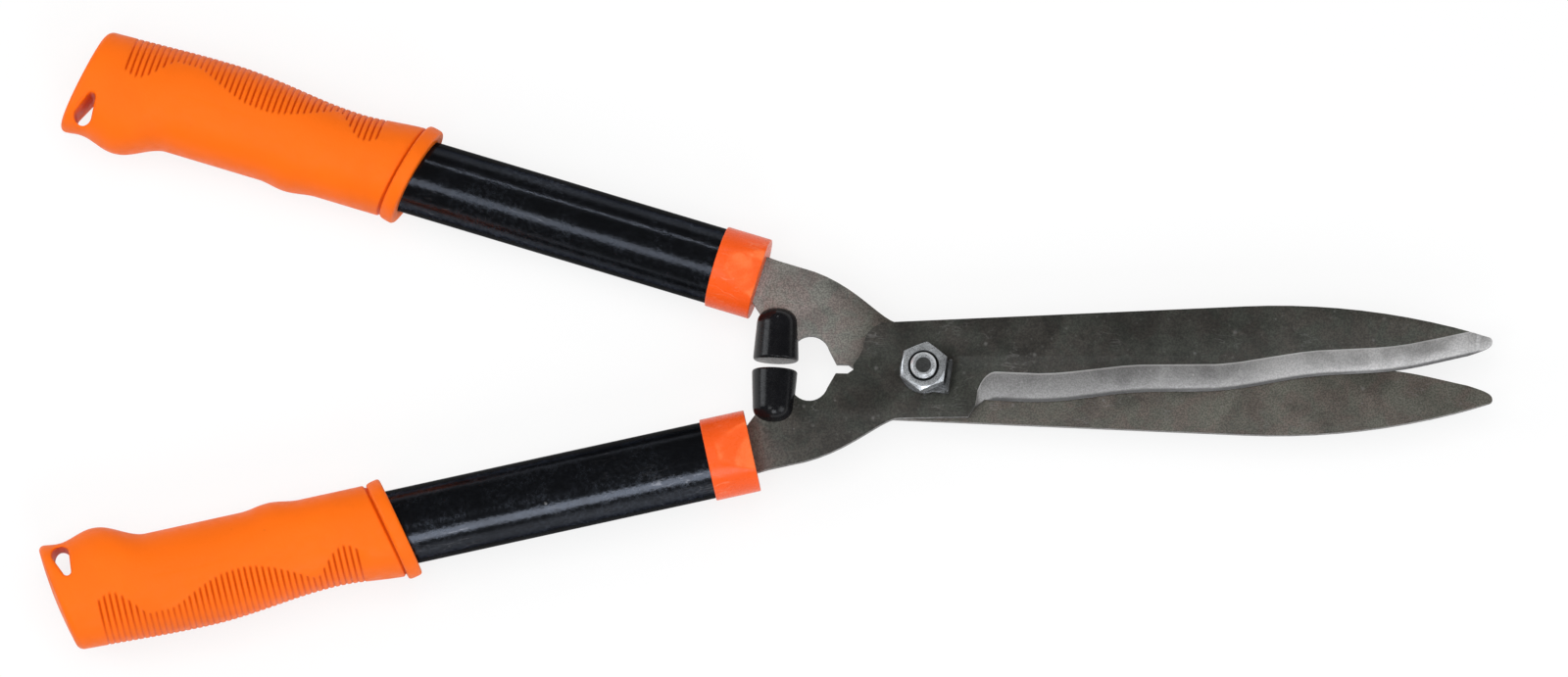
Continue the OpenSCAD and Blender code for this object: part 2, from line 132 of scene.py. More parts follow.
class ShearsGrip(bpy.types.PropertyGroup):
    """Sizes of a grip and of its ribs."""

    start: length("Flange", "Distance from the pivot to the flange", 213.6)
    size: length("Length", "Length from the flange to the butt", 134.0)
    outer: length("Outer side", "Largest half width of the outer side", 21.3)
    waist: length("Waist", "Half width of the waist on the outer side", 16.9)
    inner: length("Inner side", "Half width of the inner side", 18.8)
    stop: length("Finger stop", "Height of the finger stop", 6.5)
    half_t: length("Half thickness", "Half thickness of the grip", 17.8)
    butt_t: length("Butt half thickness", "Half thickness at the butt", 15.4)
    flange_d: length("Flange width", "Diameter of the flange bead", 40.8)
    rib_from: length("First groove", "Distance from the pivot to the first groove", 229.3)
    rib_pitch: length("Rib pitch", "Distance from one groove to the next", 2.31)
    rib_count: IntProperty(name="Grooves", description="Number of grooves", default=45, min=1, max=80)
    rib_depth: length("Rib depth", "Depth of the grooves", 0.7)
    hang_r: length("Hole wide end", "Radius of the hang hole's wide end", 3.4)
    hang_tip_r: length("Hole narrow end", "Radius of the hang hole's narrow end", 1.6)
    hang_len: length("Hole length", "Distance between the centres of the hang hole's ends", 7.8)
    hang_in: length("Hole depth", "Distance of the hang hole's middle from the butt", 6.3)
    hang_w: length("Hole side", "Distance of the hang hole's middle from the centre line", 12.6)
    hang_round: length("Hole rounding", "Rounding round the hang hole's mouths", 1.2)


class ShearsPivot(bpy.types.PropertyGroup):
    """Sizes of the bolt, nut and bumpers."""

    bolt_d: length("Bolt", "Diameter of the bolt", 10.0)
    across: length("Across flats", "Width across flats of the nut and bolt head", 17.0)
    nut_z: length("Nut foot", "Height of the nut's underside", 5.1)
    nut_h: length("Nut height", "Height of the nut", 8.0)
    bolt_end: length("Bolt end", "Height of the bolt's end", 15.5)
    head_in: length("Head", "Depth of the bolt head's seat below the middle plane", 5.4)
    head_h: length("Head height", "Height of the bolt's head", 6.4)
    dish_d: length("Dish", "Diameter of the dish in the bolt's end", 6.4)
    thread: length("Thread pitch", "Distance from one thread to the next", 1.5)
    turn: rotation("Nut turn", "Turn of the nut about the pivot", -5.5)
    bumper_x: length("Bumper place", "Distance from the pivot to the bumper's axis", 58.0)
    bumper_z: length("Bumper height", "Height of the bumper's axis above the middle plane", 1.85)
    bumper_d: length("Bumper width", "Diameter of the bumper at its striking end", 17.6)
    bumper_root: length("Bumper root", "Diameter of the bumper at its dome", 16.0)
    bumper_len: length("Bumper length", "Length of the bumper", 20.8)
    bumper_gap: length("Bumper gap", "Half of the gap between the bumpers", 2.0)


class ShearsColours(bpy.types.PropertyGroup):
    """Colours of the finishes."""

    grip: colour("Grip", "Orange plastic of the grips", (0.92, 0.150, 0.004))
    # Painted shade: the groove colour darkens the grips' grooves.
    groove: colour("Grooves", "Shaded orange in the grips' grooves", (0.50, 0.045, 0.001))
    ferrule: colour("Ferrule", "Redder orange plastic of the ferrules", (0.89, 0.102, 0.012))
    # Painted highlight: the ferrules' flats are painted this paler orange for the light that falls on those
    # facets.
    ferrule_flat_highlight: colour("Ferrule flats", "Rubbed orange of the ferrules' flats", (0.93, 0.20, 0.055))
    ferrule_scuff: colour("Ferrule scuffs", "Pale scuffs on the ferrules", (0.95, 0.42, 0.25))
    paint: colour("Tube paint", "Black gloss paint of the tubes", (0.027, 0.029, 0.034))
    paint_haze: colour("Paint haze", "Clouded patches of the tubes' paint", (0.060, 0.067, 0.082))
    paint_scuff: colour("Paint scuffs", "Scratches in the tubes' paint", (0.12, 0.12, 0.13))
    paint_chip: colour("Paint specks", "Pale specks on the tubes' paint", (0.9, 0.9, 0.9))
    rubber: colour("Rubber", "Black rubber of the bumpers", (0.0042, 0.0042, 0.0050))
    rubber_dust: colour("Rubber dust", "Dust on the bumpers", (0.07, 0.07, 0.07))
    plug: colour("Plug", "Plain dark plastic of the tang plugs", (0.034, 0.034, 0.034))
    # The tang colours are partly the tangs' own rubbing and partly painted reflection, paler where light
    # falls across the flat plates.
    front_steel: colour("Front steel", "Dark rolled steel of the front blade", (0.044, 0.043, 0.037))
    front_tang: colour("Front tang", "Rubbed steel of the front blade's tang", (0.150, 0.142, 0.132))
    rear_steel: colour("Rear steel", "Rolled steel of the rear blade", (0.100, 0.090, 0.078))
    rear_tang: colour("Rear tang", "Rubbed steel of the rear blade's tang", (0.310, 0.292, 0.288))
    bare_steel: colour("Ground steel", "Ground steel of the bevels", (0.330, 0.322, 0.315))
    zinc: colour("Zinc", "Zinc plate of the pivot's pieces", (0.60, 0.62, 0.64))
    floor: colour("Floor", "Pale floor", (0.90, 0.90, 0.90))
    cool_light: colour("Cool light", "Light of the lamps that show as reflections", (0.93, 0.96, 1.0))
    warm_light: colour("Warm light", "Light of the soft lamp overhead", (1.0, 0.99, 0.97))


class ShearsStage(bpy.types.PropertyGroup):
    """Camera and lamps."""

    lens: FloatProperty(
        name="Lens",
        description="Focal length of the camera",
        default=494.0,
        min=20.0,
        max=1000.0,
        subtype="DISTANCE_CAMERA",
        unit="CAMERA",
    )
    px_per_mm: FloatProperty(
        name="Scale", description="Pixels per millimetre at the pivot, in the full frame", default=2.6344
    )
    pivot_x: FloatProperty(
        name="Pivot X", description="Pivot's place across the frame", default=943.57, subtype="PIXEL"
    )
    pivot_y: FloatProperty(
        name="Pivot Y", description="Pivot's place down the frame", default=378.88, subtype="PIXEL"
    )
    lean_x: FloatProperty(name="Lean X", description="Camera's lean towards +X, per height", default=0.05)
    lean_y: FloatProperty(name="Lean Y", description="Camera's lean towards -Y, per height", default=0.17)
    roll: rotation("Roll", "Turn of the camera about its own line of sight", 2.6215)
    window: power("Window lamp", "Power of the lamp low on the right", 4.5)
    left: power("Left lamp", "Power of the panel low on the left", 8.0)
    strip: power("Strip lamp", "Power of the thin strip behind the handles", 0.55)
    rear_band: power("Rear band lamp", "Power of the lamp that draws the rear tube's band", 2.7)
    front_band: power("Front band lamp", "Power of the lamp that draws the front tube's band", 5.4)
    soft: power("Soft lamp", "Power of the wide lamp overhead", 30.5)


GROUPS = {
    "shears_handle": ShearsHandle,
    "shears_grip": ShearsGrip,
    "shears_pivot": ShearsPivot,
    "shears_colours": ShearsColours,
    "shears_stage": ShearsStage,
}


def plain(attribute):
    """The values of one of the scene's property groups as plain numbers, its lengths as single
    precision millimetres, to the nearest ten-thousandth, and its colours as tuples."""
    group = getattr(bpy.context.scene, attribute)
    values = {}
    for key in GROUPS[attribute].__annotations__:
        rna = group.bl_rna.properties[key]
        value = getattr(group, key)
        if rna.type == "FLOAT" and rna.unit == "LENGTH":
            value = float(np.float32(round(value / MM, 4)))
        elif rna.type == "FLOAT" and rna.is_array:
            value = tuple(value)
        values[key] = value
    return SimpleNamespace(**values)


# ---- Meshes ----


def full_turn(steps):
    """Angles of a full turn in equal steps, without the last."""
    return np.linspace(0, 2 * np.pi, steps, endpoint=False)


def grid_quads(rows, cols, closed=False):
    """Quads of a grid whose columns close on themselves: corner (i, j) joins its three next ones. A
    closed grid's last row also joins its first."""
    i, j = np.meshgrid(np.arange(rows - 1 + closed), np.arange(cols), indexing="ij")
    low, high = i * cols, (i + 1) % rows * cols
    k = (j + 1) % cols
    return np.stack([low + j, low + k, high + k, high + j], -1).reshape(-1, 4)


def closed_loft(rings, pole_a, pole_b):
    """Vertices and faces of rings joined in order, with a fan to a pole at each end."""
    rows, cols = rings.shape[:2]
    verts = np.concatenate([rings.reshape(-1, 3), [pole_a, pole_b]])
    a = len(verts) - 2
    j = np.arange(cols)
    k = (j + 1) % cols
    last = (rows - 1) * cols
    fan_a = np.stack([np.full(cols, a), k, j], -1)
    fan_b = np.stack([np.full(cols, a + 1), last + j, last + k], -1)
    return verts, grid_quads(rows, cols), np.concatenate([fan_a, fan_b])


def volume(verts, quads, tris):
    """Signed volume: a sixth of the sum of the triple products of all triangles."""
    t = np.concatenate([tris, quads[:, [0, 1, 2]], quads[:, [0, 2, 3]]])
    p = verts[t]
    return np.einsum("ij,ij->i", p[:, 0], np.cross(p[:, 1], p[:, 2])).sum() / 6


def place_in_scene(name, data):
    """A new object of some data, at the origin."""
    obj = bpy.data.objects.new(name, data)
    bpy.context.scene.collection.objects.link(obj)
    return obj


def new_object(name, verts, quads, tris=None, sharp=None):
    """A smooth mesh object from arrays in metres, its faces turned outwards; edges past sharp degrees
    stay crisp."""
    tris = np.zeros((0, 3), int) if tris is None else tris
    if volume(verts, quads, tris) < 0:
        quads, tris = quads[:, ::-1], tris[:, ::-1]
    mesh = bpy.data.meshes.new(name)
    loops = np.concatenate([quads.ravel(), tris.ravel()]).astype(np.int32)
    sizes = np.concatenate([np.full(len(quads), 4), np.full(len(tris), 3)]).astype(np.int32)
    starts = np.concatenate([[0], np.cumsum(sizes)[:-1]]).astype(np.int32)
    mesh.vertices.add(len(verts))
    mesh.vertices.foreach_set("co", np.asarray(verts, np.float32).ravel())
    mesh.loops.add(len(loops))
    mesh.loops.foreach_set("vertex_index", loops)
    mesh.polygons.add(len(sizes))
    mesh.polygons.foreach_set("loop_start", starts)
    mesh.polygons.foreach_set("loop_total", sizes)
    mesh.polygons.foreach_set("use_smooth", np.ones(len(sizes), bool))
    mesh.update(calc_edges=True)
    mesh.validate()
    if sharp is not None:
        mesh.set_sharp_from_angle(angle=math.radians(sharp))
    return place_in_scene(name, mesh)


def mark_points(obj, name, values):
    """Gives the first points of a mesh an attribute of that name; the rest have 0."""
    marks = np.zeros(len(obj.data.vertices), np.float32)
    marks[: values.size] = values.ravel()
    obj.data.attributes.new(name, "FLOAT", "POINT").data.foreach_set("value", marks)


def apply_modifiers(obj):
    """Puts what the modifiers make into the mesh itself."""
    graph = bpy.context.evaluated_depsgraph_get()
    mesh = bpy.data.meshes.new_from_object(obj.evaluated_get(graph))
    obj.modifiers.clear()
    obj.data = mesh


def finish_piece(obj, body, node, material):
    """Gives a finished piece its material, in a slot of its own, and its body, and hides the node that it
    stands in for.
    """
    obj.data.materials.clear()
    obj.data.materials.append(material)
    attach(obj, body)
    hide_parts(node)


def merged_copy(node, name, width, segments=2, sharp=32.0, flat=0.6):
    """A copy of a node's mesh: merged, faces within flat degrees joined, and edges past sharp degrees
    rounded by width mm."""
    obj = place_in_scene(name, NODES[node].data.copy())
    bm = bmesh.new()
    bm.from_mesh(obj.data)
    bmesh.ops.remove_doubles(bm, verts=bm.verts, dist=2e-6)
    bmesh.ops.dissolve_limit(
        bm, angle_limit=math.radians(flat), verts=bm.verts, edges=bm.edges, use_dissolve_boundaries=False
    )
    bm.to_mesh(obj.data)
    bm.free()
    obj.data.shade_smooth()
    bevel = obj.modifiers.new("round", "BEVEL")
    bevel.width = width * MM
    bevel.segments = segments
    bevel.limit_method = "ANGLE"
    bevel.angle_limit = math.radians(sharp)
    bevel.use_clamp_overlap = True
    bevel.harden_normals = False
    apply_modifiers(obj)
    obj.data.set_sharp_from_angle(angle=math.radians(sharp))
    return obj


def to_frame(points, side):
    """Points of a handle's frame, in mm, as points of the shared frame, in metres. The three columns
    are u along the handle from the pivot, w outwards and z up; side turns the rear half over."""
    h = plain("shears_handle")
    c, s = math.cos(h.angle), math.sin(h.angle)
    u, w, z = np.moveaxis(points, -1, 0)
    v = w + h.offset
    return np.stack([-(u * c - v * s), -(u * s + v * c) * side, z * side], -1) * MM


def on_line(u):
    """A point of the handle's centre line, in the handle's frame."""
    return np.array([u, 0.0, 0.0])


def turned(along, radius, around):
    """Circles about the handle's line, in the handle's frame: at each place along the line a circle of
    its radius, at the angles around it."""
    along, radius = np.broadcast_arrays(along, radius + 0 * around)
    return np.stack([along, radius * np.cos(around), radius * np.sin(around)], -1)


# ---- Grip ----

# Form of the grip beyond its sizes. A slant is the run over the width: flange and butt lean.
FLANGE_SLANT = 0.228
BUTT_SLANT = 0.17
# Power p of the section's rounded oval, on which |x|^p + |y|^p = 1, and 2 / p to three places.
OVAL = 2.25
OVAL_TRACE = 0.889
# Place along the grip, 0 at the flange and 1 at the butt, where the butt starts to round over.
BUTT_EDGE = 0.972
# Lobes of the ribbed zone's inner edge: depth, place from the flange and half length in mm, power.
RIB_LOBES = ((10.8, 113.0, 14.0, 0.7), (9.4, 61.4, 28.5, 0.6), (9.2, 20.4, 12.6, 0.7))


def hump(x, centre, width):
    """Smooth hump of height 1: half a cosine wave, zero at centre - width and centre + width."""
    t = np.clip(np.abs(x - centre) / width, 0, 1)
    return (1 + np.cos(np.pi * t)) / 2


def humps(x, *rows):
    """Sum of smooth humps, each with its height, centre and half width."""
    return sum(height * hump(x, centre, width) for height, centre, width in rows)


def smooth_step(t):
    """Smooth rise from 0 at 0 to 1 at 1: three t squared less two t cubed."""
    t = np.clip(t, 0, 1)
    return t * t * (3 - 2 * t)


def signed_power(v, p):
    """|v| to the power p, with the sign of v."""
    return np.sign(v) * np.abs(v) ** p


def grip_section(g, s):
    """Outer half width, inner half width and half thickness at s, which is 0 at the flange and 1 at
    the butt: a constant and a few smooth humps each."""
    belly = g.outer - g.waist
    outer = g.waist + humps(s, (2.0, 0, 0.22), (belly, 0.62, 0.42), (belly - 1.6, 1.02, 0.4))
    inner = g.inner + humps(s, (1.4, 0.31, 0.09), (g.stop, 0.815, 0.135), (4.2, 1.0, 0.2))
    thick = g.half_t - humps(s, (0.5, 0.25, 0.25), (g.half_t - g.butt_t, 1, 0.3))
    return outer, inner, thick


def grip_slant(s):
    """Slant of the outline's cross lines at s, from the flange's slant to the butt's."""
    return FLANGE_SLANT + (BUTT_SLANT - FLANGE_SLANT) * s


def grip_point(g, u0, slant, scale, around):
    """Point of the grip's skin at each angle around, on a plane that meets the centre line at u0 with
    a slant: a rounded oval whose half widths follow the outline at that point's own place, found in a
    few steps."""
    w = np.zeros(np.broadcast(u0, around).shape)
    for _ in range(4):
        straight = (u0 - slant * w - g.start) / g.size
        s = straight + grip_slant(straight) * w / g.size
        outer, inner, thick = grip_section(g, s)
        reach = scale * (outer + inner) / 2
        w = (outer - inner) / 2 + reach * signed_power(np.cos(around), OVAL_TRACE)
    return np.stack([u0 - slant * w, w, scale * thick * signed_power(np.sin(around), OVAL_TRACE)], -1)


def rib_edge(g, u):
    """Inner edge of the ribbed zone, as a distance from the centre line: a line less three lobes."""
    lobes = (depth * hump(u - g.start, place, width) ** p for depth, place, width, p in RIB_LOBES)
    return 14.0 - sum(lobes)


def rib_rows(g):
    """Places of the rows across the ribs: eight to a pitch, closer at the grooves."""
    phase = np.array([-0.33, -0.22, -0.11, 0.0, 0.11, 0.22, 0.33, 0.5])
    u = g.rib_from + g.rib_pitch * (np.arange(g.rib_count)[:, None] + phase[None, :])
    return u.ravel()[:-1]


def groove_depth(g, p):
    """Depth of the grooves at points p: a narrow rounded valley at each pitch, inside the zone, which
    fades to half its depth on the outer side."""
    u, w = p[..., 0], p[..., 1]
    phase = (u - g.rib_from) / g.rib_pitch
    valley = hump(phase - np.round(phase), 0, 0.3)
    zone = smooth_step((w - rib_edge(g, u)) / 0.7)
    inside = (phase > -0.5) & (phase < g.rib_count - 0.5)
    fade = 1 - 0.5 * np.clip((w - 12) / 6, 0, 1)
    return g.rib_depth * valley * zone * inside * fade


def sink(p, depth):
    """Moves the points of a closed grid inwards by depth, along the normals of the grid itself."""
    du = np.gradient(p, axis=0)
    dv = np.roll(p, -1, 1) - np.roll(p, 1, 1)
    n = np.cross(du, dv)
    n /= np.maximum(np.linalg.norm(n, axis=-1, keepdims=True), 1e-9)
    centre = p.mean(axis=1, keepdims=True)
    out = np.sign(np.einsum("ijk,ijk->ij", n, p - centre))
    return p - n * (out * depth)[..., None]


def flange_rows(g, bore, around):
    """Rows from the grip's bore over the flange bead, as circles on planes that lean with the flange:
    a square face, a small round, a nearly flat crown and a crisp fall to the groove behind it."""
    r = g.flange_d / 2
    turns = np.radians([-90, -60, -30, -6])
    face = [[-2.1, bore], [-2.6, bore + 0.5], [-2.6, r - 1.8]]
    nose = np.stack([-1.5 + 1.1 * np.sin(turns), r - 1.17 + 1.1 * np.cos(turns)], -1)
    crown = [[-0.4, r - 0.01], [0.8, r - 0.02], [1.9, r - 0.1], [2.6, r - 0.3], [3.0, r - 0.75]]
    rows = np.concatenate([face, nose, crown, [[3.12, r - 1.5]]])
    lean = math.atan(FLANGE_SLANT)
    along, radius = rows[:, :1], rows[:, 1:]
    across, up = radius * np.cos(around), radius * np.sin(around)
    u = g.start + along * math.cos(lean) - across * math.sin(lean)
    w = along * math.sin(lean) + across * math.cos(lean)
    return np.stack([u, w, up], -1)


def grip_body_rows(g, around):
    """Rows of the grip's skin from the groove behind the flange to the butt's centre, how much painted shade
    each point gets in a groove or in the neck behind the flange, and the pole. The butt rounds over on a
    quarter of an ellipse, narrowing by edge_in of its width, and closes on a shallow crown."""
    ribs = rib_rows(g)
    end = g.start + BUTT_EDGE * g.size
    lead = g.start + np.array([3.25, 3.6, 3.95, 4.2, 4.5, 5.0, 6.2, 8.0, 10.2])
    tail = np.arange(ribs[-1] + 1.0, end - 1.5, 1.0)
    u0 = np.concatenate([lead, ribs, tail])[:, None]
    off_flange = 1 - smooth_step((u0 - g.start - 4) / 9)
    on_butt = smooth_step((u0 - ribs[-1] + 1) / 11)
    body = grip_point(g, u0, FLANGE_SLANT * off_flange + BUTT_SLANT * on_butt, 1.0, around)
    neck = np.zeros((len(u0), 1))
    neck[:5, 0] = [0.95, 0.95, 0.7, 0.25, 0.05]
    groove = groove_depth(g, body)
    # dark is painted shade: the grooves and the neck behind the flange are darkened by their depth.
    dark = np.maximum(groove / g.rib_depth, neck)
    body = sink(body, groove + neck)
    edge_h, edge_in, crown_h = 2.7, 0.125, 1.1
    bend = np.radians(np.linspace(0, 90, 9))[:, None]
    narrow = 1 - edge_in * (1 - np.cos(bend))
    edge = grip_point(g, end + edge_h * np.sin(bend), BUTT_SLANT, narrow, around)
    q = np.array([0.9, 0.74, 0.55, 0.35, 0.15])[:, None]
    crown_u = end + edge_h + crown_h * (1 - q * q)
    crown = grip_point(g, crown_u, BUTT_SLANT, (1 - edge_in) * q, around)
    pole_u = np.array([[end + edge_h + crown_h]])
    pole = grip_point(g, pole_u, BUTT_SLANT, 0.0, np.array([math.pi / 2]))[0, 0]
    return np.concatenate([body, edge, crown]), dark, pole


def hole_cutter(g, name, side):
    """Teardrop plug for the hang hole. Its outline is two arcs that meet on their common tangents,
    carried up through the butt, and it flares where it leaves the skin, at each outline point's own
    height."""
    steps = 32
    lift = math.asin((g.hang_r - g.hang_tip_r) / g.hang_len)
    wide = np.linspace(math.pi - lift, 2 * math.pi + lift, steps)
    slim = np.linspace(lift, math.pi - lift, steps)
    a = np.concatenate([wide, slim])
    out = np.stack([np.cos(a), np.sin(a)], -1)
    radius = np.repeat([g.hang_r, g.hang_tip_r], steps)[:, None]
    centre = np.repeat([[0, -g.hang_len / 2], [0, g.hang_len / 2]], steps, axis=0)
    lean = math.atan(BUTT_SLANT)
    turn = np.array([[math.cos(lean), math.sin(lean)], [-math.sin(lean), math.cos(lean)]])
    middle = np.array([g.start + g.size - g.hang_in, -g.hang_w])
    q = np.radians(np.linspace(0, 84, 8))
    mouth = np.stack([1 - np.cos(q), np.sin(q) - 1], -1)
    flare = np.concatenate([[[0.0, -8.0]], mouth, [[1.25, 2.2], [1.3, 6.0]]]) * g.hang_round
    grow, rise = flare[:, :1], flare[:, 1:]
    u, w = np.moveaxis((centre + out * (radius + grow[..., None])) @ turn + middle, -1, 0)
    s = (u + grip_slant(1.0) * w - g.start) / g.size
    outer, inner, thick = grip_section(g, np.minimum(s, BUTT_EDGE))
    x = np.abs(w - (outer - inner) / 2) / ((outer + inner) / 2)
    height = thick * np.clip(1 - x**OVAL, 0.05, 1) ** (1 / OVAL)
    top = np.stack([u, w, np.maximum(height + rise, 0.5)], -1)
    rings = to_frame(np.concatenate([top[::-1] * [1, 1, -1], top]), side)
    verts, quads, tris = closed_loft(rings, rings[0].mean(0), rings[-1].mean(0))
    return new_object(name, verts, quads, tris)


def build_grip(half):
    """The grip's skin, flange and bore as one closed loft, with the hang hole cut through its butt."""
    g, h = plain("shears_grip"), plain("shears_handle")
    side = HALVES[half][1]
    around = full_turn(176)
    bore, floor = h.socket_d / 2, h.tube_to + 0.1
    inside = np.concatenate([turned(np.array([[floor]]), bore, around), flange_rows(g, bore, around)])
    skin, dark, pole = grip_body_rows(g, around)
    rings = to_frame(np.concatenate([inside, skin]), side)
    verts, quads, tris = closed_loft(rings, to_frame(on_line(floor), side), to_frame(pole, side))
    obj = new_object(f"{half}_grip_skin", verts, quads, tris)
    # The groove mark is painted shade for the material: how deep each point lies in a groove or in the neck.
    mark_points(obj, "groove", np.concatenate([np.zeros(inside.shape[:2]), dark]))
    cutter = hole_cutter(g, f"{half}_hole_plug", side)
    cut = obj.modifiers.new("hang_hole", "BOOLEAN")
    cut.operation = "DIFFERENCE"
    cut.solver = "EXACT"
    cut.object = cutter
    apply_modifiers(obj)
    bpy.data.objects.remove(cutter)
    obj.data.set_sharp_from_angle(angle=math.radians(50))
    return obj


# ---- Handle pieces ----


def build_tube(half):
    """Tube: rounded ends, outer wall and bore, as a profile turned about the handle's line."""
    h = plain("shears_handle")
    r = h.tube_d / 2
    bore, near, far, edge = r - h.tube_wall, h.tube_from, h.tube_to, 0.3
    along = np.linspace(far - 4, near + 4, 24)
    far_end = [(far, bore), (far, r - edge), (far - edge, r)]
    near_end = [(near + edge, r), (near, r - edge), (near, bore)]
    profile = np.concatenate([far_end, np.stack([along, np.full(len(along), r)], -1), near_end])
    rings = to_frame(turned(profile[:, :1], profile[:, 1:], full_turn(128)), HALVES[half][1])
    faces = grid_quads(*rings.shape[:2], closed=True)
    return new_object(f"{half}_tube_wall", rings.reshape(-1, 3), faces, sharp=30)


def build_ferrule(half):
    """Collar: a circle of constant radius, less a sloped flat above and below. At each angle the
    radius is the smaller of the circle's and the flat's, blended by a soft minimum."""
    h = plain("shears_handle")
    side = HALVES[half][1]
    r, n, socket, edge = h.ferrule_d / 2, h.ferrule_len, h.socket_d / 2, 0.35
    rim = np.radians([90, 60, 30, 0])
    front = np.stack([edge * (1 - np.sin(rim)), r - edge * (1 - np.cos(rim))], -1)
    along = np.linspace(0.9, n - 0.9, 40)
    outer = np.stack([along, np.full(len(along), r)], -1)
    back = np.stack([n - front[::-1, 0], front[::-1, 1]], -1)
    inner = [[n, socket + 0.24], [n - 0.25, socket], [h.ferrule_nose, socket]]
    profile = np.concatenate([front, outer, back, inner])
    around = full_turn(180)
    along, full = profile[:, :1], profile[:, 1:]
    height = r - h.flat_depth * (1 - along / h.flat_len)
    plane = np.where(along < h.flat_len, height, 10 * r) / np.maximum(np.abs(np.sin(around)), 0.05)
    plane = plane - (r - full) * (along < 5)
    crisp = 60.0
    soft = (full**-crisp + np.maximum(plane, 1.0) ** -crisp) ** (-1 / crisp)
    cut = (along < h.flat_len + 2) & (full >= r - 0.4)
    radius = np.where(cut, soft, full)
    rings = to_frame(turned(h.ferrule_u + along, radius, around), side)
    face, floor = (to_frame(on_line(h.ferrule_u + a), side) for a in (0, h.ferrule_nose))
    verts, quads, tris = closed_loft(rings, face, floor)
    obj = new_object(f"{half}_ferrule_collar", verts, quads, tris, sharp=40)
    # The flat mark tells the material where to paint the flats' highlight.
    mark_points(obj, "flat", np.clip((full - radius) / 0.25, 0, 1))
    return obj


def build_bumper(half):
    """Rubber thimble: a profile turned about its own axis, with a shallow hollow face, a rounded rim,
    a slight taper and a domed far end."""
    p = plain("shears_pivot")
    side = HALVES[half][1]
    r, root = p.bumper_d / 2, p.bumper_root / 2
    rim, foot_h, dome, full = 1.0, 1.2, 7.0, 0.84
    top = p.bumper_len - dome
    q = np.array([0.15, 0.4, 0.6, 0.75])
    face = np.stack([0.9 * r * q, 0.12 * q], -1)
    t = np.radians(np.linspace(-90, 0, 9))
    foot = np.stack([r - rim + rim * np.cos(t), foot_h + rim * np.sin(t)], -1)
    v = np.linspace(0.08, 1, 14)
    wall = np.stack([r + (root - r) * v**1.15, foot_h + (top - foot_h) * v], -1)
    d = np.radians(np.linspace(4, 86, 18))
    cap = np.stack([root * np.cos(d) ** full, top + dome * np.sin(d) ** full], -1)
    profile = np.concatenate([face[face[:, 0] < r - rim], foot, wall, cap])
    around = full_turn(112)
    radius, away = profile[:, :1], profile[:, 1:]
    x = radius * np.cos(around) - p.bumper_x
    y = np.broadcast_to(-(p.bumper_gap + away), x.shape)
    z = radius * np.sin(around) + p.bumper_z
    rings = np.stack([x, y * side, z * side], -1) * MM
    ends = (p.bumper_gap, p.bumper_gap + p.bumper_len)
    poles = np.array([[-p.bumper_x, -y_end * side, p.bumper_z * side] for y_end in ends])
    verts, quads, tris = closed_loft(rings, *(poles * MM))
    return new_object(f"{half}_bumper_cap", verts, quads, tris, sharp=50)


# ---- Pivot pieces ----


def hex_radius(across, around):
    """Distance from a hexagon's centre to its side at each angle."""
    sector = math.pi / 3
    return across / 2 / np.cos((around + sector / 2) % sector - sector / 2)


def hex_rows(across, height, around):
    """Rows down the outside of a hexagon bar, as radius and height: a flat circle on top, the cone
    that trims the corners, lower where they reach out further, and the straight side."""
    flat = across / 2 * 0.955
    side = hex_radius(across, around)
    fall = (side - flat) * 0.62
    cone = [(flat + (side - flat) * t, height - 0.06 - fall * t) for t in (0.0, 0.12, 0.5, 0.9)]
    return [(flat * 0.985, height), *cone, (side, height - fall - 0.28), (side, height / 2)]


def ring_stack(rows, around, turn, base, flip=1.0):
    """Rings from (radius, height) rows, turned about Z and set on base."""
    radius = np.array([np.broadcast_to(r, around.shape) for r, _ in rows])
    height = np.array([np.broadcast_to(z, around.shape) for _, z in rows])
    a = around + turn
    return np.stack([radius * np.cos(a), radius * np.sin(a), base + flip * height], -1) * MM


def build_nut():
    """Hexagon nut: countersunk bore, flat top, trimmed corners, and the same again below."""
    p = plain("shears_pivot")
    around = full_turn(240)
    h, bore, mouth_w = p.nut_h, p.bolt_d / 2 + 0.06, 1.15
    mouth = [
        (bore, h / 2),
        (bore, h - mouth_w),
        (bore + mouth_w * 0.5, h - mouth_w * 0.45),
        (bore + mouth_w, h - 0.02),
        (bore + mouth_w + 0.25, h),
    ]
    above = mouth + hex_rows(p.across, h, around)
    below = [(r, h - z) for r, z in above[-2::-1]]
    rings = ring_stack(above + below, around, p.turn, p.nut_z)
    faces = grid_quads(*rings.shape[:2], closed=True)
    return new_object("pivot_nut_hexagon", rings.reshape(-1, 3), faces, sharp=28)


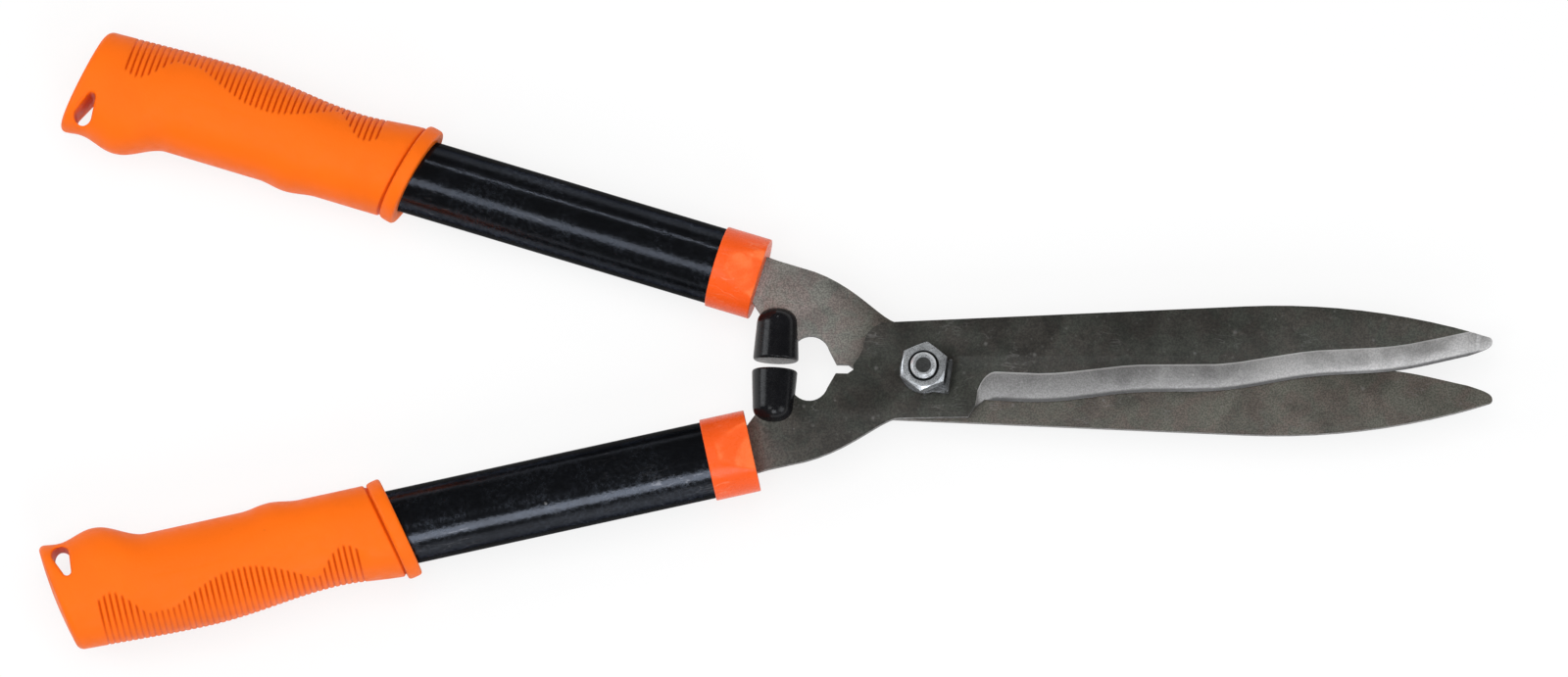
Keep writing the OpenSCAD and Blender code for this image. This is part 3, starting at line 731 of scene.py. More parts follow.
def build_bolt():
    """Bolt: dished end, chamfer, threads where it stands out of the nut, shank and hexagon head."""
    p = plain("shears_pivot")
    around = full_turn(240)
    r, end, dish, dish_in = p.bolt_d / 2, p.bolt_end, p.dish_d / 2, 0.5
    rows = [(dish * 0.5, end - dish_in), (dish - 0.35, end - 0.48), (dish - 0.1, end - 0.3)]
    rows += [(dish + 0.05, end - 0.04), (dish + 0.3, end), (r - 1.0, end - 0.02)]
    rows += [(r - 0.85, end - 0.12), (r - 0.18, end - 0.8)]
    one_thread = ((0.02, 0.0), (0.0, 0.18), (0.0, 0.36), (0.55, 0.85), (0.62, 1.0), (0.55, 1.15))
    z = end - 0.95
    while z > p.nut_z + p.nut_h - 2.4:
        rows += [(r - inward, z - down) for inward, down in one_thread]
        z -= p.thread
    rows += [(r - 0.01, z), (r - 0.01, -p.head_in)]
    head = hex_rows(p.across, p.head_h, around)
    side = head[-1][0]
    skirt = [(side * 0.5, -0.001), (side - 0.15, 0.0), (side, 0.15)]
    low = ring_stack(skirt + head[::-1], around, 0.0, -p.head_in, -1.0)
    rings = np.concatenate([ring_stack(rows, around, 0.0, 0.0), low])
    poles = np.array([[0, 0, end - dish_in], [0, 0, -p.head_in - p.head_h]]) * MM
    verts, quads, tris = closed_loft(rings, *poles)
    return new_object("pivot_bolt_shank", verts, quads, tris, sharp=28)


# ---- Nodes ----


def feed(tree, socket, value):
    """Links a socket to another one, or sets it to a number or a colour."""
    if isinstance(value, bpy.types.NodeSocket):
        tree.links.new(value, socket)
    elif isinstance(value, tuple):
        socket.default_value = (*value, 1.0)
    else:
        socket.default_value = value


def new_node(tree, kind, **values):
    """A new node; each value sets the node's own attribute of that name, or else feeds that input."""
    node = tree.nodes.new(kind)
    for key, value in values.items():
        if hasattr(node, key):
            setattr(node, key, value)
        else:
            feed(tree, node.inputs[key.replace("_", " ")], value)
    return node


def math_node(tree, operation, *values):
    """A Math node on sockets or numbers; gives its output."""
    node = new_node(tree, "ShaderNodeMath", operation=operation)
    for socket, value in zip(node.inputs, values):
        feed(tree, socket, value)
    return node.outputs[0]


def times(tree, a, b):
    """The product of two sockets or numbers."""
    return math_node(tree, "MULTIPLY", a, b)


def ramp(tree, value, low, high, out_low=0.0, out_high=1.0, smooth=True):
    """Maps value from low..high to out_low..out_high, held at both ends."""
    node = new_node(
        tree, "ShaderNodeMapRange", Value=value, From_Min=low, From_Max=high, To_Min=out_low, To_Max=out_high
    )
    node.interpolation_type = "SMOOTHSTEP" if smooth else "LINEAR"
    return node.outputs["Result"]


def mix_colour(tree, factor, a, b, blend="MIX"):
    """Mixes two colours, each a socket or a tuple, by a factor."""
    node = new_node(tree, "ShaderNodeMix", data_type="RGBA", blend_type=blend)
    factor_in, a_in, b_in = node.inputs[0], node.inputs[6], node.inputs[7]
    for socket, value in ((factor_in, factor), (a_in, a), (b_in, b)):
        feed(tree, socket, value)
    return node.outputs[2]


def overlay(tree, base, mask, amount, top):
    """Lays a colour over a base where a mask is, by an amount."""
    return mix_colour(tree, times(tree, mask, amount), base, top)


def brighten(tree, base, value):
    """Multiplies a colour by a value."""
    grey = new_node(tree, "ShaderNodeCombineColor", Red=value, Green=value, Blue=value)
    return mix_colour(tree, 1.0, base, grey.outputs[0], "MULTIPLY")


def parts_of(tree, vector):
    """The X, Y and Z of a vector, as sockets."""
    return new_node(tree, "ShaderNodeSeparateXYZ", Vector=vector).outputs


def point_mark(tree, name):
    """The value that mark_points gave the points."""
    return new_node(tree, "ShaderNodeAttribute", attribute_name=name).outputs["Fac"]


def noise(tree, vector, scale, detail=3.0, rough=0.55, distortion=0.0):
    """A noise texture's value at a vector."""
    node = new_node(tree, "ShaderNodeTexNoise", Vector=vector, Scale=scale, Detail=detail)
    feed(tree, node.inputs["Roughness"], rough)
    feed(tree, node.inputs["Distortion"], distortion)
    return node.outputs["Fac"]


# ---- Shader groups ----


def shader_group(name, numbers, outputs):
    """An empty shader group that takes a vector and some numbers, and puts out values. Gives its tree,
    what comes in and what goes out."""
    tree = bpy.data.node_groups.new(name, "ShaderNodeTree")
    tree.interface.new_socket("Vector", in_out="INPUT", socket_type="NodeSocketVector")
    for label, value in numbers.items():
        socket = tree.interface.new_socket(label, in_out="INPUT", socket_type="NodeSocketFloat")
        socket.default_value = value
    for label in outputs:
        tree.interface.new_socket(label, in_out="OUTPUT", socket_type="NodeSocketFloat")
    return tree, tree.nodes.new("NodeGroupInput").outputs, tree.nodes.new("NodeGroupOutput").inputs


def group_specks():
    """Sparse small specks: cells whose random value passes a limit, kept near the cell's centre."""
    tree, given, out = shader_group("Specks", {"Scale": 300.0, "Share": 0.1, "Size": 0.25}, ["Mask"])
    cells = new_node(tree, "ShaderNodeTexVoronoi", Vector=given["Vector"], Scale=given["Scale"])
    feed(tree, cells.inputs["Randomness"], 1.0)
    chance, bigness, _ = new_node(tree, "ShaderNodeSeparateColor", Color=cells.outputs["Color"]).outputs
    chosen = math_node(tree, "LESS_THAN", chance, given["Share"])
    size = times(tree, given["Size"], bigness)
    near = ramp(tree, cells.outputs["Distance"], 0.0, size, 1.0, 0.0)
    feed(tree, out["Mask"], times(tree, chosen, near))


def group_scratches():
    """Fine scratches: thin bands of a noise that is stretched along X, broken up by a second one."""
    tree, given, out = shader_group("Scratches", {"Scale": 60.0, "Stretch": 12.0, "Width": 0.02}, ["Mask"])
    squeeze = math_node(tree, "DIVIDE", 1.0, given["Stretch"])
    wide = new_node(tree, "ShaderNodeCombineXYZ", X=squeeze, Y=1.0, Z=1.0)
    scaled = new_node(tree, "ShaderNodeVectorMath", operation="MULTIPLY")
    feed(tree, scaled.inputs[0], given["Vector"])
    feed(tree, scaled.inputs[1], wide.outputs[0])
    lines = noise(tree, scaled.outputs[0], given["Scale"], 2.0, 0.5)
    off = math_node(tree, "ABSOLUTE", math_node(tree, "SUBTRACT", lines, 0.5))
    band = ramp(tree, off, 0.0, given["Width"], 1.0, 0.0)
    broken = ramp(tree, noise(tree, given["Vector"], 45.0, 2.0), 0.52, 0.66)
    feed(tree, out["Mask"], times(tree, band, broken))


def group_mottle():
    """Soft cloudy patches with finer ones inside them."""
    tree, given, out = shader_group("Mottle", {"Scale": 25.0, "Contrast": 0.25}, ["Mask", "Fine"])
    broad = noise(tree, given["Vector"], given["Scale"], 5.0, 0.62, 0.6)
    low = math_node(tree, "SUBTRACT", 0.5, given["Contrast"])
    high = math_node(tree, "ADD", 0.5, given["Contrast"])
    feed(tree, out["Mask"], ramp(tree, broad, low, high))
    fine = noise(tree, given["Vector"], times(tree, given["Scale"], 14.0), 3.0, 0.6)
    feed(tree, out["Fine"], ramp(tree, fine, 0.3, 0.7))


def group_grain():
    """Fine moulded grain: two noises of unlike scale, added, as a height."""
    tree, given, out = shader_group("Grain", {"Scale": 1500.0, "Coarse": 0.4}, ["Height"])
    fine = noise(tree, given["Vector"], given["Scale"], 2.0, 0.5)
    coarse = noise(tree, given["Vector"], times(tree, given["Scale"], 0.12), 2.0, 0.5)
    feed(tree, out["Height"], math_node(tree, "ADD", fine, times(tree, coarse, given["Coarse"])))


def place_group(tree, group, vector, **values):
    """Places a shader group in a material, with its own values; gives its outputs."""
    node = tree.nodes.new("ShaderNodeGroup")
    node.node_tree = bpy.data.node_groups[group]
    for key, value in {"Vector": vector, **values}.items():
        feed(tree, node.inputs[key], value)
    return node.outputs


# ---- Materials ----


def new_material(name, angle=0.0, **values):
    """A material with a Principled shader, whose own sockets take the values; gives the material,
    its tree, the shader and Object coordinates turned about Z by the angle."""
    mat = bpy.data.materials.new(name)
    mat.use_nodes = True
    tree = mat.node_tree
    shader = tree.nodes["Principled BSDF"]
    for key, value in values.items():
        feed(tree, shader.inputs[key.replace("_", " ")], value)
    coords = tree.nodes.new("ShaderNodeTexCoord")
    turn = new_node(tree, "ShaderNodeMapping", Vector=coords.outputs["Object"])
    turn.inputs["Rotation"].default_value[2] = angle
    return mat, tree, shader, turn.outputs["Vector"]


def grain(tree, vec, scale, coarse):
    """Height of the Grain group with its own values."""
    return place_group(tree, "Grain", vec, Scale=scale, Coarse=coarse)["Height"]


def finish_shader(tree, shader, base, rough, height, strength, depth):
    """Feeds a shader its colour, its roughness and a bump of a strength and a depth in mm."""
    bump = new_node(tree, "ShaderNodeBump", Height=height, Strength=strength, Distance=depth * MM)
    for name, value in (("Base Color", base), ("Roughness", rough), ("Normal", bump.outputs["Normal"])):
        feed(tree, shader.inputs[name], value)


def shade(value, factor):
    """A colour darkened or lightened by a factor."""
    return tuple(min(1.0, c * factor) for c in value)


def material_grip(angle):
    """Satin orange plastic: slight clouding, darker grubby grain in places, painted shade in the grooves and
    the neck behind the flange, fine moulded grain.
    """
    c = plain("shears_colours")
    mat, tree, shader, vec = new_material("grip_plastic", angle, IOR=1.46, Specular_IOR_Level=0.2)
    cloud = place_group(tree, "Mottle", vec, Scale=18.0, Contrast=0.3)
    specks = place_group(tree, "Specks", vec, Scale=240.0, Share=0.05, Size=0.22)["Mask"]
    base = mix_colour(tree, cloud["Mask"], shade(c.grip, 0.93), shade(c.grip, 1.05))
    base = overlay(tree, base, specks, 0.25, shade(c.grip, 0.55))
    # Painted shade: the groove mark darkens the grooves and the neck behind the flange towards the groove
    # colour.
    base = overlay(tree, base, point_mark(tree, "groove"), 0.8, c.groove)
    rough = ramp(tree, cloud["Fine"], 0, 1, 0.42, 0.55)
    finish_shader(tree, shader, base, rough, grain(tree, vec, 1300.0, 0.8), 0.25, 0.2)
    return mat


def material_ferrule(angle):
    """Smooth redder orange plastic, painted paler on its flats as a painted highlight of the light on those
    facets, with faint scuffs.
    """
    c = plain("shears_colours")
    mat, tree, shader, vec = new_material("ferrule_plastic", angle, IOR=1.48, Specular_IOR_Level=0.25)
    cloud = place_group(tree, "Mottle", vec, Scale=45.0, Contrast=0.25)
    patch = place_group(tree, "Mottle", vec, Scale=70.0, Contrast=0.1)["Mask"]
    scuffs = place_group(tree, "Scratches", vec, Scale=320.0, Stretch=4.0, Width=0.025)["Mask"]
    base = mix_colour(tree, cloud["Mask"], shade(c.ferrule, 0.94), shade(c.ferrule, 1.05))
    # Painted highlight on the flats, broken up by patches.
    base = overlay(tree, base, point_mark(tree, "flat"), ramp(tree, patch, 0, 1, 0.1, 0.7), c.ferrule_flat_highlight)
    base = overlay(tree, base, scuffs, 0.25, c.ferrule_scuff)
    rough = ramp(tree, cloud["Fine"], 0, 1, 0.24, 0.36)
    finish_shader(tree, shader, base, rough, grain(tree, vec, 900.0, 1.2), 0.12, 0.2)
    return mat


def material_tube(name, angle):
    """Black gloss paint on steel: faint orange-peel, cloudy scuffs along it and a few pale specks.
    The shader is a dark metal whose edge tint is nearly black, so that the tube's sides stay black."""
    c = plain("shears_colours")
    mat, tree, shader, vec = new_material(
        name, angle, Metallic=0.91, Specular_Tint=(0.12, 0.12, 0.13), Specular_IOR_Level=0.3
    )
    scuff = place_group(tree, "Mottle", vec, Scale=42.0, Contrast=0.16)
    scratches = place_group(tree, "Scratches", vec, Scale=300.0, Stretch=5.0, Width=0.018)["Mask"]
    specks = place_group(tree, "Specks", vec, Scale=110.0, Share=0.05, Size=0.16)["Mask"]
    haze = times(tree, scuff["Mask"], scuff["Fine"])
    base = overlay(tree, c.paint, haze, 0.7, c.paint_haze)
    base = overlay(tree, base, scratches, 0.5, c.paint_scuff)
    base = overlay(tree, base, specks, 0.8, c.paint_chip)
    rough = ramp(tree, haze, 0.1, 0.9, 0.19, 0.3)
    finish_shader(tree, shader, base, rough, grain(tree, vec, 520.0, 1.6), 0.15, 0.5)
    return mat


def material_rubber():
    """Smooth black rubber with a dull bloom and a few dust specks."""
    c = plain("shears_colours")
    mat, tree, shader, vec = new_material("bumper_rubber", IOR=1.5, Specular_IOR_Level=0.28)
    cloud = place_group(tree, "Mottle", vec, Scale=60.0, Contrast=0.2)
    specks = place_group(tree, "Specks", vec, Scale=420.0, Share=0.03, Size=0.25)["Mask"]
    base = mix_colour(tree, cloud["Mask"], c.rubber, shade(c.rubber, 1.8))
    base = overlay(tree, base, specks, 0.4, c.rubber_dust)
    rough = ramp(tree, cloud["Fine"], 0, 1, 0.17, 0.3)
    finish_shader(tree, shader, base, rough, grain(tree, vec, 700.0, 1.0), 0.05, 0.3)
    return mat


def material_plug(angle):
    """Plain dark moulded plastic with a fine grain, for the hidden plugs."""
    c = plain("shears_colours")
    mat, tree, shader, vec = new_material("plug_plastic", angle)
    cloud = place_group(tree, "Mottle", vec, Scale=60.0, Contrast=0.25)["Mask"]
    base = mix_colour(tree, cloud, shade(c.plug, 9 / 17), c.plug)
    finish_shader(tree, shader, base, 0.55, grain(tree, vec, 1100.0, 0.8), 0.3, 0.2)
    return mat


def blade_marks(tree, vec):
    """Clouds, specks, dust, scratches and grinding lines of a blade."""
    return SimpleNamespace(
        cloud=place_group(tree, "Mottle", vec, Scale=60.0, Contrast=0.14),
        broad=place_group(tree, "Mottle", vec, Scale=12.0, Contrast=0.16),
        tint=place_group(tree, "Mottle", vec, Scale=110.0, Contrast=0.1),
        specks=place_group(tree, "Specks", vec, Scale=260.0, Share=0.16, Size=0.34)["Mask"],
        dust=place_group(tree, "Specks", vec, Scale=640.0, Share=0.22, Size=0.6)["Mask"],
        scratches=place_group(tree, "Scratches", vec, Scale=300.0, Stretch=4.0, Width=0.02)["Mask"],
        grinding=place_group(tree, "Scratches", vec, Scale=420.0, Stretch=0.12, Width=0.05)["Mask"],
    )


def rolled_face(tree, m, patch, x, finish, bare):
    """Colour of a blade's rolled face: clouded steel, paler at the tip, partly as painted reflection, and
    the tang's paler steel, partly from rubbing and partly painted reflection, all of it tinted, gritty and
    marked down towards bare steel."""
    face = mix_colour(tree, patch, shade(finish.steel, 0.66), shade(finish.steel, 1.36))
    # The paler tip is partly painted reflection of the light along the flat plate.
    tip = ramp(tree, x, 150 * MM, 218 * MM)
    face = overlay(tree, face, tip, 0.6, shade(finish.steel, finish.tip))
    # The tang's paler steel is partly from rubbing and partly painted reflection.
    rubbed_and_reflection = mix_colour(tree, patch, shade(finish.tang, 0.74), shade(finish.tang, 1.24))
    near_tang = ramp(tree, x, -70 * MM, finish.tang_to * MM, 1.0, 0.0, smooth=False)
    face = mix_colour(tree, near_tang, face, rubbed_and_reflection)
    hue = mix_colour(tree, m.tint["Mask"], (1.0, 0.92, 0.88), (0.93, 1.0, 0.93))
    face = mix_colour(tree, 1.0, face, hue, "MULTIPLY")
    face = brighten(tree, face, ramp(tree, m.tint["Fine"], 0.15, 0.85, 0.72, 1.3))
    pale = mix_colour(tree, 0.5, face, shade(bare, 0.9))
    for mask, amount in ((m.dust, 0.3), (m.specks, 0.7), (m.scratches, 0.5)):
        face = overlay(tree, face, mask, amount, pale)
    return face


def ground_bevel(tree, m, x, depth, bare):
    """Colour of a ground bevel: bare steel, brighter towards the tip, partly as painted reflection, and
    grained across the edge, with a painted highlight line along its rim and a painted shadow line at the
    cutting edge."""
    worn_and_painted_light = mix_colour(tree, m.cloud["Mask"], shade(bare, 0.84), shade(bare, 1.14))
    # Brighter towards the tip: partly painted reflection.
    towards_tip = ramp(tree, x, 60 * MM, 200 * MM, 0.88, 1.65)
    grit = ramp(tree, m.tint["Fine"], 0.15, 0.85, 0.88, 1.14)
    worn_and_painted_light = brighten(tree, worn_and_painted_light, times(tree, towards_tip, grit))
    # rim is a painted highlight along the bevel's rim; edge is a painted shadow line at the cutting edge.
    rim = ramp(tree, depth, 0.08 * MM, 0.3 * MM, 1.0, 0.0)
    edge = ramp(tree, depth, 2.5 * MM, 2.8 * MM)
    grit_layers = ((m.grinding, 0.3, 1.7), (m.specks, 0.8, 2.6), (m.dust, 0.3, 2.0))
    for mask, amount, factor in (*grit_layers, (rim, 0.75, 2.2), (edge, 0.85, 0.16)):
        worn_and_painted_light = overlay(tree, worn_and_painted_light, mask, amount, shade(bare, factor))
    return worn_and_painted_light


def material_blade(name, finish, side):
    """Rolled steel with a bright ground bevel, told by its depth below the face, and torn, sheared
    rims, told by how upright they stand."""
    bare = plain("shears_colours").bare_steel
    mat, tree, shader, vec = new_material(name, IOR=1.9)
    place = parts_of(tree, vec)
    x = place["X"]
    face_height = 3.6 * MM
    depth = math_node(tree, "SUBTRACT", face_height, times(tree, place["Z"], side))
    normal = new_node(tree, "ShaderNodeNewGeometry").outputs["Normal"]
    level = math_node(tree, "ABSOLUTE", parts_of(tree, normal)["Z"])
    on_blade = times(tree, ramp(tree, level, 0.3, 0.45), ramp(tree, x, 14 * MM, 16 * MM))
    below_face = ramp(tree, depth, 0.03 * MM, 0.08 * MM)
    above_back = ramp(tree, depth, 3.2 * MM, 3.3 * MM, 1.0, 0.0)
    bevel = times(tree, on_blade, times(tree, below_face, above_back))
    m = blade_marks(tree, vec)
    patch = math_node(tree, "ADD", times(tree, m.cloud["Mask"], 0.6), times(tree, m.broad["Mask"], 0.4))
    face = rolled_face(tree, m, patch, x, finish, bare)
    base = mix_colour(tree, bevel, face, ground_bevel(tree, m, x, depth, bare))
    sheared = mix_colour(tree, m.cloud["Fine"], shade(finish.steel, 0.8), shade(bare, 0.8))
    base = mix_colour(tree, ramp(tree, level, 0.2, 0.45, 1.0, 0.0), base, sheared)
    rough = math_node(tree, "SUBTRACT", ramp(tree, patch, 0, 1, 0.42, 0.58), times(tree, bevel, 0.08))
    feed(tree, shader.inputs["Metallic"], ramp(tree, bevel, 0, 1, 0.45, 0.8))
    lines = times(tree, times(tree, m.grinding, bevel), -0.5)
    height = math_node(tree, "ADD", grain(tree, vec, 700.0, 1.2), lines)
    height = math_node(tree, "SUBTRACT", height, times(tree, m.scratches, 0.4))
    finish_shader(tree, shader, base, rough, height, 0.22, 0.3)
    return mat


def dull_zone(tree, vec, radius, floor):
    """Mask of what lies within a radius of the pivot's axis and above a floor, both in mm."""
    place = parts_of(tree, vec)
    squares = (times(tree, place[axis], place[axis]) for axis in "XY")
    away = math_node(tree, "SQRT", math_node(tree, "ADD", *squares))
    inside = ramp(tree, away, (radius - 0.35) * MM, radius * MM, 1.0, 0.0)
    above = ramp(tree, place["Z"], floor * MM, (floor + 0.2) * MM)
    return times(tree, inside, above)


def material_zinc(name, tone, dull=None, zone_tone=0.08):
    """Bright zinc plate, slightly cloudy, with dull spots and fine handling marks. The dull zone, given by
    its radius and floor in mm, is darkened to zone_tone and rougher; on the nut that darkening is painted
    shade in the recess round the bolt."""
    c = shade(plain("shears_colours").zinc, tone)
    mat, tree, shader, vec = new_material(name, Metallic=0.75)
    cloud = place_group(tree, "Mottle", vec, Scale=140.0, Contrast=0.2)
    specks = place_group(tree, "Specks", vec, Scale=700.0, Share=0.16, Size=0.35)["Mask"]
    marks = place_group(tree, "Scratches", vec, Scale=420.0, Stretch=5.0, Width=0.03)["Mask"]
    base = mix_colour(tree, cloud["Mask"], shade(c, 0.62), shade(c, 1.2))
    base = overlay(tree, base, specks, 0.5, shade(c, 0.35))
    rough = ramp(tree, cloud["Fine"], 0, 1, 0.24, 0.46)
    if dull:
        zone = dull_zone(tree, vec, *dull)
        # Darkened zone: painted shade at the nut's mouth, a darker dull end in the bolt's dish.
        zone_colour = mix_colour(tree, cloud["Fine"], shade((0.95, 1.0, 0.95), zone_tone * 0.7), (zone_tone * 1.3,) * 3)
        base = mix_colour(tree, zone, base, zone_colour)
        rough = math_node(tree, "ADD", rough, times(tree, zone, 0.2))
    height = math_node(tree, "SUBTRACT", grain(tree, vec, 1500.0, 2.0), marks)
    finish_shader(tree, shader, base, rough, height, 0.2, 0.2)
    return mat


# ---- Stage ----


def make_floor():
    """A wide pale floor just under the shears, mostly white to the eye, which keeps soft shadows. Its
    underside is clear, so that the shears can be seen from below."""
    reach, low = 4.0, CAD_BOX[0].z - 0.3 * MM
    corners = [(-reach, -reach, low), (reach, -reach, low), (reach, reach, low), (-reach, reach, low)]
    mesh = bpy.data.meshes.new("floor")
    mesh.from_pydata(corners, [], [(0, 1, 2, 3)])
    obj = place_in_scene("floor", mesh)
    mat = bpy.data.materials.new("floor_white")
    mat.use_nodes = True
    tree = mat.node_tree
    shader = tree.nodes["Principled BSDF"]
    feed(tree, shader.inputs["Base Color"], plain("shears_colours").floor)
    feed(tree, shader.inputs["Roughness"], 0.9)
    feed(tree, shader.inputs["Specular IOR Level"], 0.0)
    glow = new_node(tree, "ShaderNodeEmission", Strength=1.0)
    path = tree.nodes.new("ShaderNodeLightPath").outputs
    seen = math_node(tree, "MAXIMUM", path["Is Camera Ray"], path["Is Glossy Ray"])
    seen = math_node(tree, "MAXIMUM", seen, path["Is Transmission Ray"])
    glossy = times(tree, path["Is Glossy Ray"], 0.4)
    share = math_node(tree, "SUBTRACT", times(tree, seen, 0.8), glossy)
    white = new_node(tree, "ShaderNodeMixShader", Fac=share)
    feed(tree, white.inputs[1], shader.outputs[0])
    feed(tree, white.inputs[2], glow.outputs[0])
    below = tree.nodes.new("ShaderNodeNewGeometry").outputs["Backfacing"]
    top = new_node(tree, "ShaderNodeMixShader", Fac=below)
    feed(tree, top.inputs[1], white.outputs[0])
    feed(tree, top.inputs[2], tree.nodes.new("ShaderNodeBsdfTransparent").outputs[0])
    feed(tree, tree.nodes["Material Output"].inputs["Surface"], top.outputs[0])
    mesh.materials.append(mat)


def make_world():
    """White surroundings to the eye and through clear things; in gloss, white at the horizon and
    dark overhead, as a studio's ceiling is; dim to everything else."""
    world = bpy.data.worlds.new("studio")
    bpy.context.scene.world = world
    world.use_nodes = True
    tree = world.node_tree
    back = tree.nodes["Background"]
    upward = parts_of(tree, tree.nodes.new("ShaderNodeTexCoord").outputs["Generated"])["Z"]
    path = tree.nodes.new("ShaderNodeLightPath").outputs
    gloss = times(tree, ramp(tree, upward, 0.02, 0.3, 0.9, 0.06), path["Is Glossy Ray"])
    seen = math_node(tree, "MAXIMUM", path["Is Camera Ray"], path["Is Transmission Ray"])
    dim = times(tree, path["Is Diffuse Ray"], 0.25)
    strength = math_node(tree, "MAXIMUM", math_node(tree, "MAXIMUM", seen, gloss), dim)
    feed(tree, back.inputs["Color"], (1.0, 1.0, 1.0))
    feed(tree, back.inputs["Strength"], strength)


def area_lamp(name, place, target, size, watts, tint, gloss=True):
    """A rectangular lamp at a place, turned to a target, both in metres; gloss says whether it shows
    in reflections."""
    lamp = bpy.data.lights.new(name, "AREA")
    lamp.shape = "RECTANGLE"
    lamp.size, lamp.size_y = size
    lamp.energy = watts
    lamp.color = tint
    obj = place_in_scene(name, lamp)
    obj.location = place
    obj.rotation_mode = "QUATERNION"
    obj.rotation_quaternion = (Vector(target) - Vector(place)).to_track_quat("-Z", "Y")
    obj.visible_glossy = gloss


def make_lamps():
    """A window lamp low on the right, a panel low on the left, a thin strip behind the handles, a lamp
    for each tube's band of light, and a soft lamp overhead that shows in no reflection."""
    st, c = plain("shears_stage"), plain("shears_colours")
    cool, warm = c.cool_light, c.warm_light
    area_lamp("window_lamp", (1.10, -0.65, 0.78), (-0.14, 0, 0), (0.8, 0.8), st.window, cool)
    area_lamp("left_lamp", (-1.5, 0.25, 0.9), (0, 0, 0), (0.9, 0.9), st.left, cool)
    area_lamp("strip_lamp", (-0.01, 1.21, 1.17), (-0.14, 0.05, 0), (0.2, 0.03), st.strip, cool)
    area_lamp("rear_band_lamp", (-0.52, -0.66, 1.61), (-0.14, 0.05, 0), (0.42, 0.6), st.rear_band, cool)
    area_lamp("front_band_lamp", (0.13, -1.18, 0.95), (-0.14, -0.05, 0), (0.5, 0.6), st.front_band, cool)
    area_lamp("soft_lamp", (-0.1, 0.1, 2.2), (-0.05, 0, 0), (1.8, 1.8), st.soft, warm, gloss=False)


def make_camera():
    """A long-lens camera whose line of sight leans from the pivot's axis, so far away that the pivot
    has its scale, and moved aside so that the pivot falls on its own place in the frame."""
    st = plain("shears_stage")
    frame_w, frame_h = 1600, 691
    sight = Vector((st.lean_x, -st.lean_y, 1.0)).normalized()
    level_up = (Vector((0, 1, 0)) - sight * sight.y).normalized()
    level_right = level_up.cross(sight)
    c, s = math.cos(st.roll), math.sin(st.roll)
    right = level_right * c + level_up * s
    up = level_up * c - level_right * s
    cam = bpy.data.cameras.new("camera")
    cam.type = "PERSP"
    cam.sensor_width = 36.0
    cam.lens = st.lens
    cam.clip_start, cam.clip_end = 0.05, 50.0
    px = MM / st.px_per_mm
    distance = st.lens / cam.sensor_width * frame_w * px
    aside = right * (frame_w / 2 - st.pivot_x) * px + up * (st.pivot_y - frame_h / 2) * px
    turn = Matrix((right, up, sight)).transposed().to_4x4()
    turn.translation = aside + sight * distance
    obj = place_in_scene("camera", cam)
    obj.matrix_world = turn
    bpy.context.scene.camera = obj


# ---- Operators ----


def along_handle(side):
    """Turn about Z that lays a half's handle along X."""
    return -side * plain("shears_handle").angle


class SHEARS_OT_groups(bpy.types.Operator):
    """Makes the shader groups that the finishes share"""

    bl_idname = "shears.groups"
    bl_label = "Shader Groups"

    def execute(self, context):
        for make in (group_specks, group_scratches, group_mottle, group_grain):
            make()
        return {"FINISHED"}


class SHEARS_OT_grips(bpy.types.Operator):
    """Builds both grips with their ribs, flanges and hang holes"""

    bl_idname = "shears.grips"
    bl_label = "Grips"

    def execute(self, context):
        for half, (body, side) in HALVES.items():
            mat = material_grip(along_handle(side))
            finish_piece(build_grip(half), body, f"{half}_grip", mat)
        return {"FINISHED"}


class SHEARS_OT_tubes(bpy.types.Operator):
    """Builds both handle tubes"""

    bl_idname = "shears.tubes"
    bl_label = "Tubes"

    def execute(self, context):
        for half, (body, side) in HALVES.items():
            mat = material_tube(f"{half}_tube_paint", along_handle(side))
            finish_piece(build_tube(half), body, f"{half}_tube", mat)
        return {"FINISHED"}


class SHEARS_OT_ferrules(bpy.types.Operator):
    """Builds both ferrules and dresses the plugs behind them"""

    bl_idname = "shears.ferrules"
    bl_label = "Ferrules"

    def execute(self, context):
        for half, (body, side) in HALVES.items():
            mat = material_ferrule(along_handle(side))
            finish_piece(build_ferrule(half), body, f"{half}_ferrule", mat)
            NODES[f"{half}_tang_plug"].data.materials[0] = material_plug(along_handle(side))
        return {"FINISHED"}


class SHEARS_OT_bumpers(bpy.types.Operator):
    """Builds both rubber bumpers"""

    bl_idname = "shears.bumpers"
    bl_label = "Bumpers"

    def execute(self, context):
        mat = material_rubber()
        for half, (body, _) in HALVES.items():
            finish_piece(build_bumper(half), body, f"{half}_bumper", mat)
        return {"FINISHED"}


class SHEARS_OT_blades(bpy.types.Operator):
    """Builds both blades with rounded stamped edges and ground bevels"""

    bl_idname = "shears.blades"
    bl_label = "Blades"

    def execute(self, context):
        c = plain("shears_colours")
        # Each finish: face and tang colours, how much paler the tip is, partly as painted reflection, where
        # the tang's paler tone ends, itself partly from rubbing and partly painted reflection.
        finishes = {
            "front": SimpleNamespace(steel=c.front_steel, tang=c.front_tang, tip=2.4, tang_to=-48.0),
            "rear": SimpleNamespace(steel=c.rear_steel, tang=c.rear_tang, tip=1.35, tang_to=-16.0),
        }
        for half, (body, side) in HALVES.items():
            plate = merged_copy(f"{half}_blade", f"{half}_blade_plate", 0.28)
            mat = material_blade(f"{half}_blade_steel", finishes[half], side)
            finish_piece(plate, body, f"{half}_blade", mat)
        return {"FINISHED"}


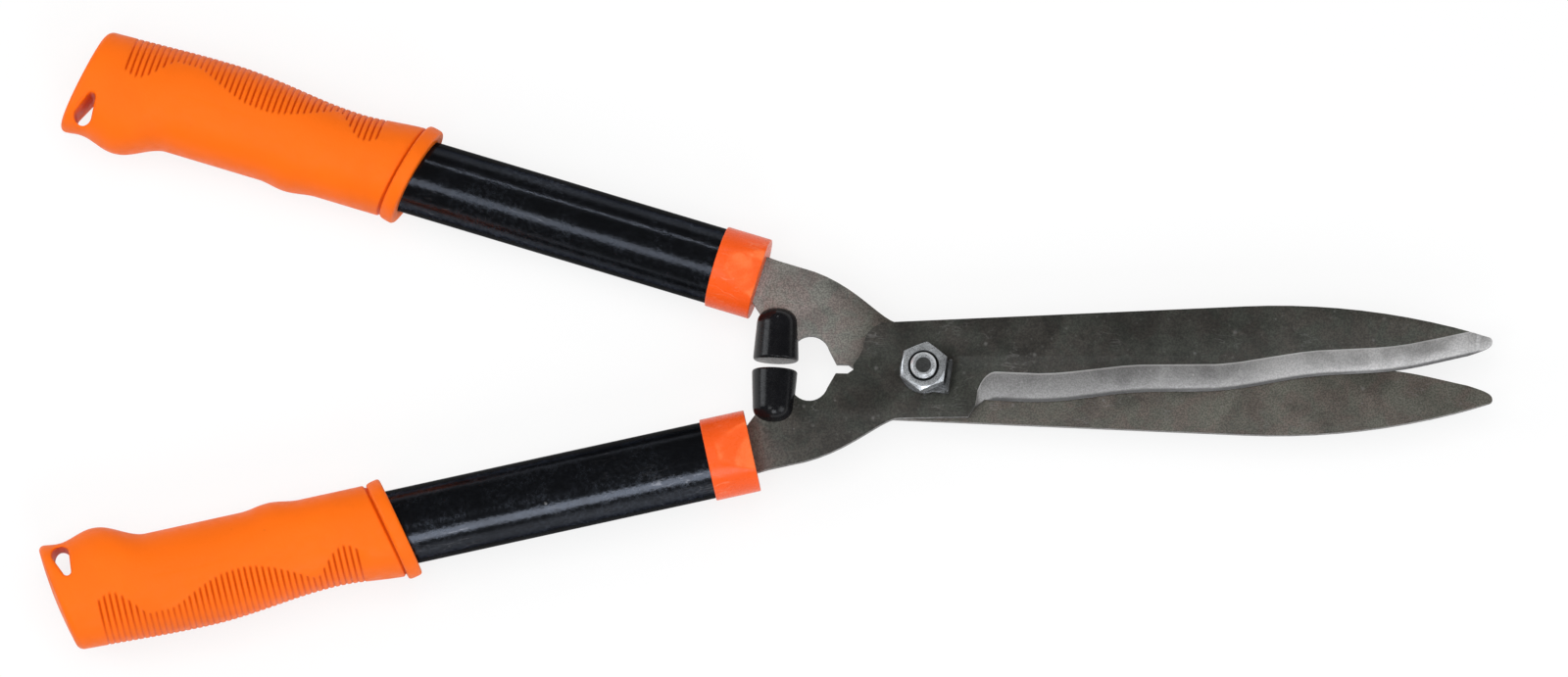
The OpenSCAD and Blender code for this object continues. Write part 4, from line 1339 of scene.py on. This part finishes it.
class SHEARS_OT_pivot(bpy.types.Operator):
    """Builds the bolt, nut, lock tab washer and head washer"""

    bl_idname = "shears.pivot"
    bl_label = "Pivot"

    def execute(self, context):
        # The bolt's dish is dull and darker; the nut's mouth is darkened as painted shade in the recess
        # round the bolt. Each is a radius from the axis and a floor, in mm.
        dish, mouth = (3.2, 14.5), (6.2, 5.0)
        body = "rear_half"
        bolt, mat = build_bolt(), material_zinc("bolt_zinc", 1.15, dish)
        finish_piece(bolt, body, "pivot_bolt", mat)
        nut, mat = build_nut(), material_zinc("nut_zinc", 0.95, mouth, zone_tone=0.03)
        finish_piece(nut, body, "pivot_nut", mat)
        tab = merged_copy("lock_tab_washer", "lock_tab_plate", 0.35, segments=3)
        # The lock tab's zinc is darkened to 0.28 of its tone: painted shade beside and under the nut.
        finish_piece(tab, body, "lock_tab_washer", material_zinc("tab_zinc", 0.28))
        ring = merged_copy("head_washer", "head_washer_ring", 0.25, segments=3)
        finish_piece(ring, body, "head_washer", material_zinc("washer_zinc", 0.9))
        return {"FINISHED"}


class SHEARS_OT_stage(bpy.types.Operator):
    """Sets up the floor, white surroundings, lamps and camera"""

    bl_idname = "shears.stage"
    bl_label = "Stage"

    def execute(self, context):
        make_floor()
        make_world()
        make_lamps()
        make_camera()
        context.scene.view_settings.view_transform = "Standard"
        return {"FINISHED"}


OPERATORS = (
    SHEARS_OT_groups,
    SHEARS_OT_grips,
    SHEARS_OT_tubes,
    SHEARS_OT_ferrules,
    SHEARS_OT_bumpers,
    SHEARS_OT_blades,
    SHEARS_OT_pivot,
    SHEARS_OT_stage,
)


class SHEARS_PT_panel(bpy.types.Panel):
    """Lists the sizes, colours and building steps of the shears"""

    bl_idname = "SHEARS_PT_panel"
    bl_label = "Hedge Shears"
    bl_space_type = "VIEW_3D"
    bl_region_type = "UI"
    bl_category = "Shears"

    def draw(self, context):
        for op in OPERATORS:
            self.layout.operator(op.bl_idname)
        for attribute, group in GROUPS.items():
            box = self.layout.box()
            box.label(text=group.__doc__)
            values = getattr(context.scene, attribute)
            for key in group.__annotations__:
                box.prop(values, key)


CLASSES = (*GROUPS.values(), *OPERATORS, SHEARS_PT_panel)


def register():
    for cls in CLASSES:
        bpy.utils.register_class(cls)
    for attribute, group in GROUPS.items():
        setattr(bpy.types.Scene, attribute, PointerProperty(type=group))


def unregister():
    for attribute in GROUPS:
        delattr(bpy.types.Scene, attribute)
    for cls in reversed(CLASSES):
        bpy.utils.unregister_class(cls)


def main():
    """Registers the classes and runs every step in order."""
    register()
    for op in OPERATORS:
        module, name = op.bl_idname.split(".")
        getattr(getattr(bpy.ops, module), name)()


if __name__ == "__main__":
    main()
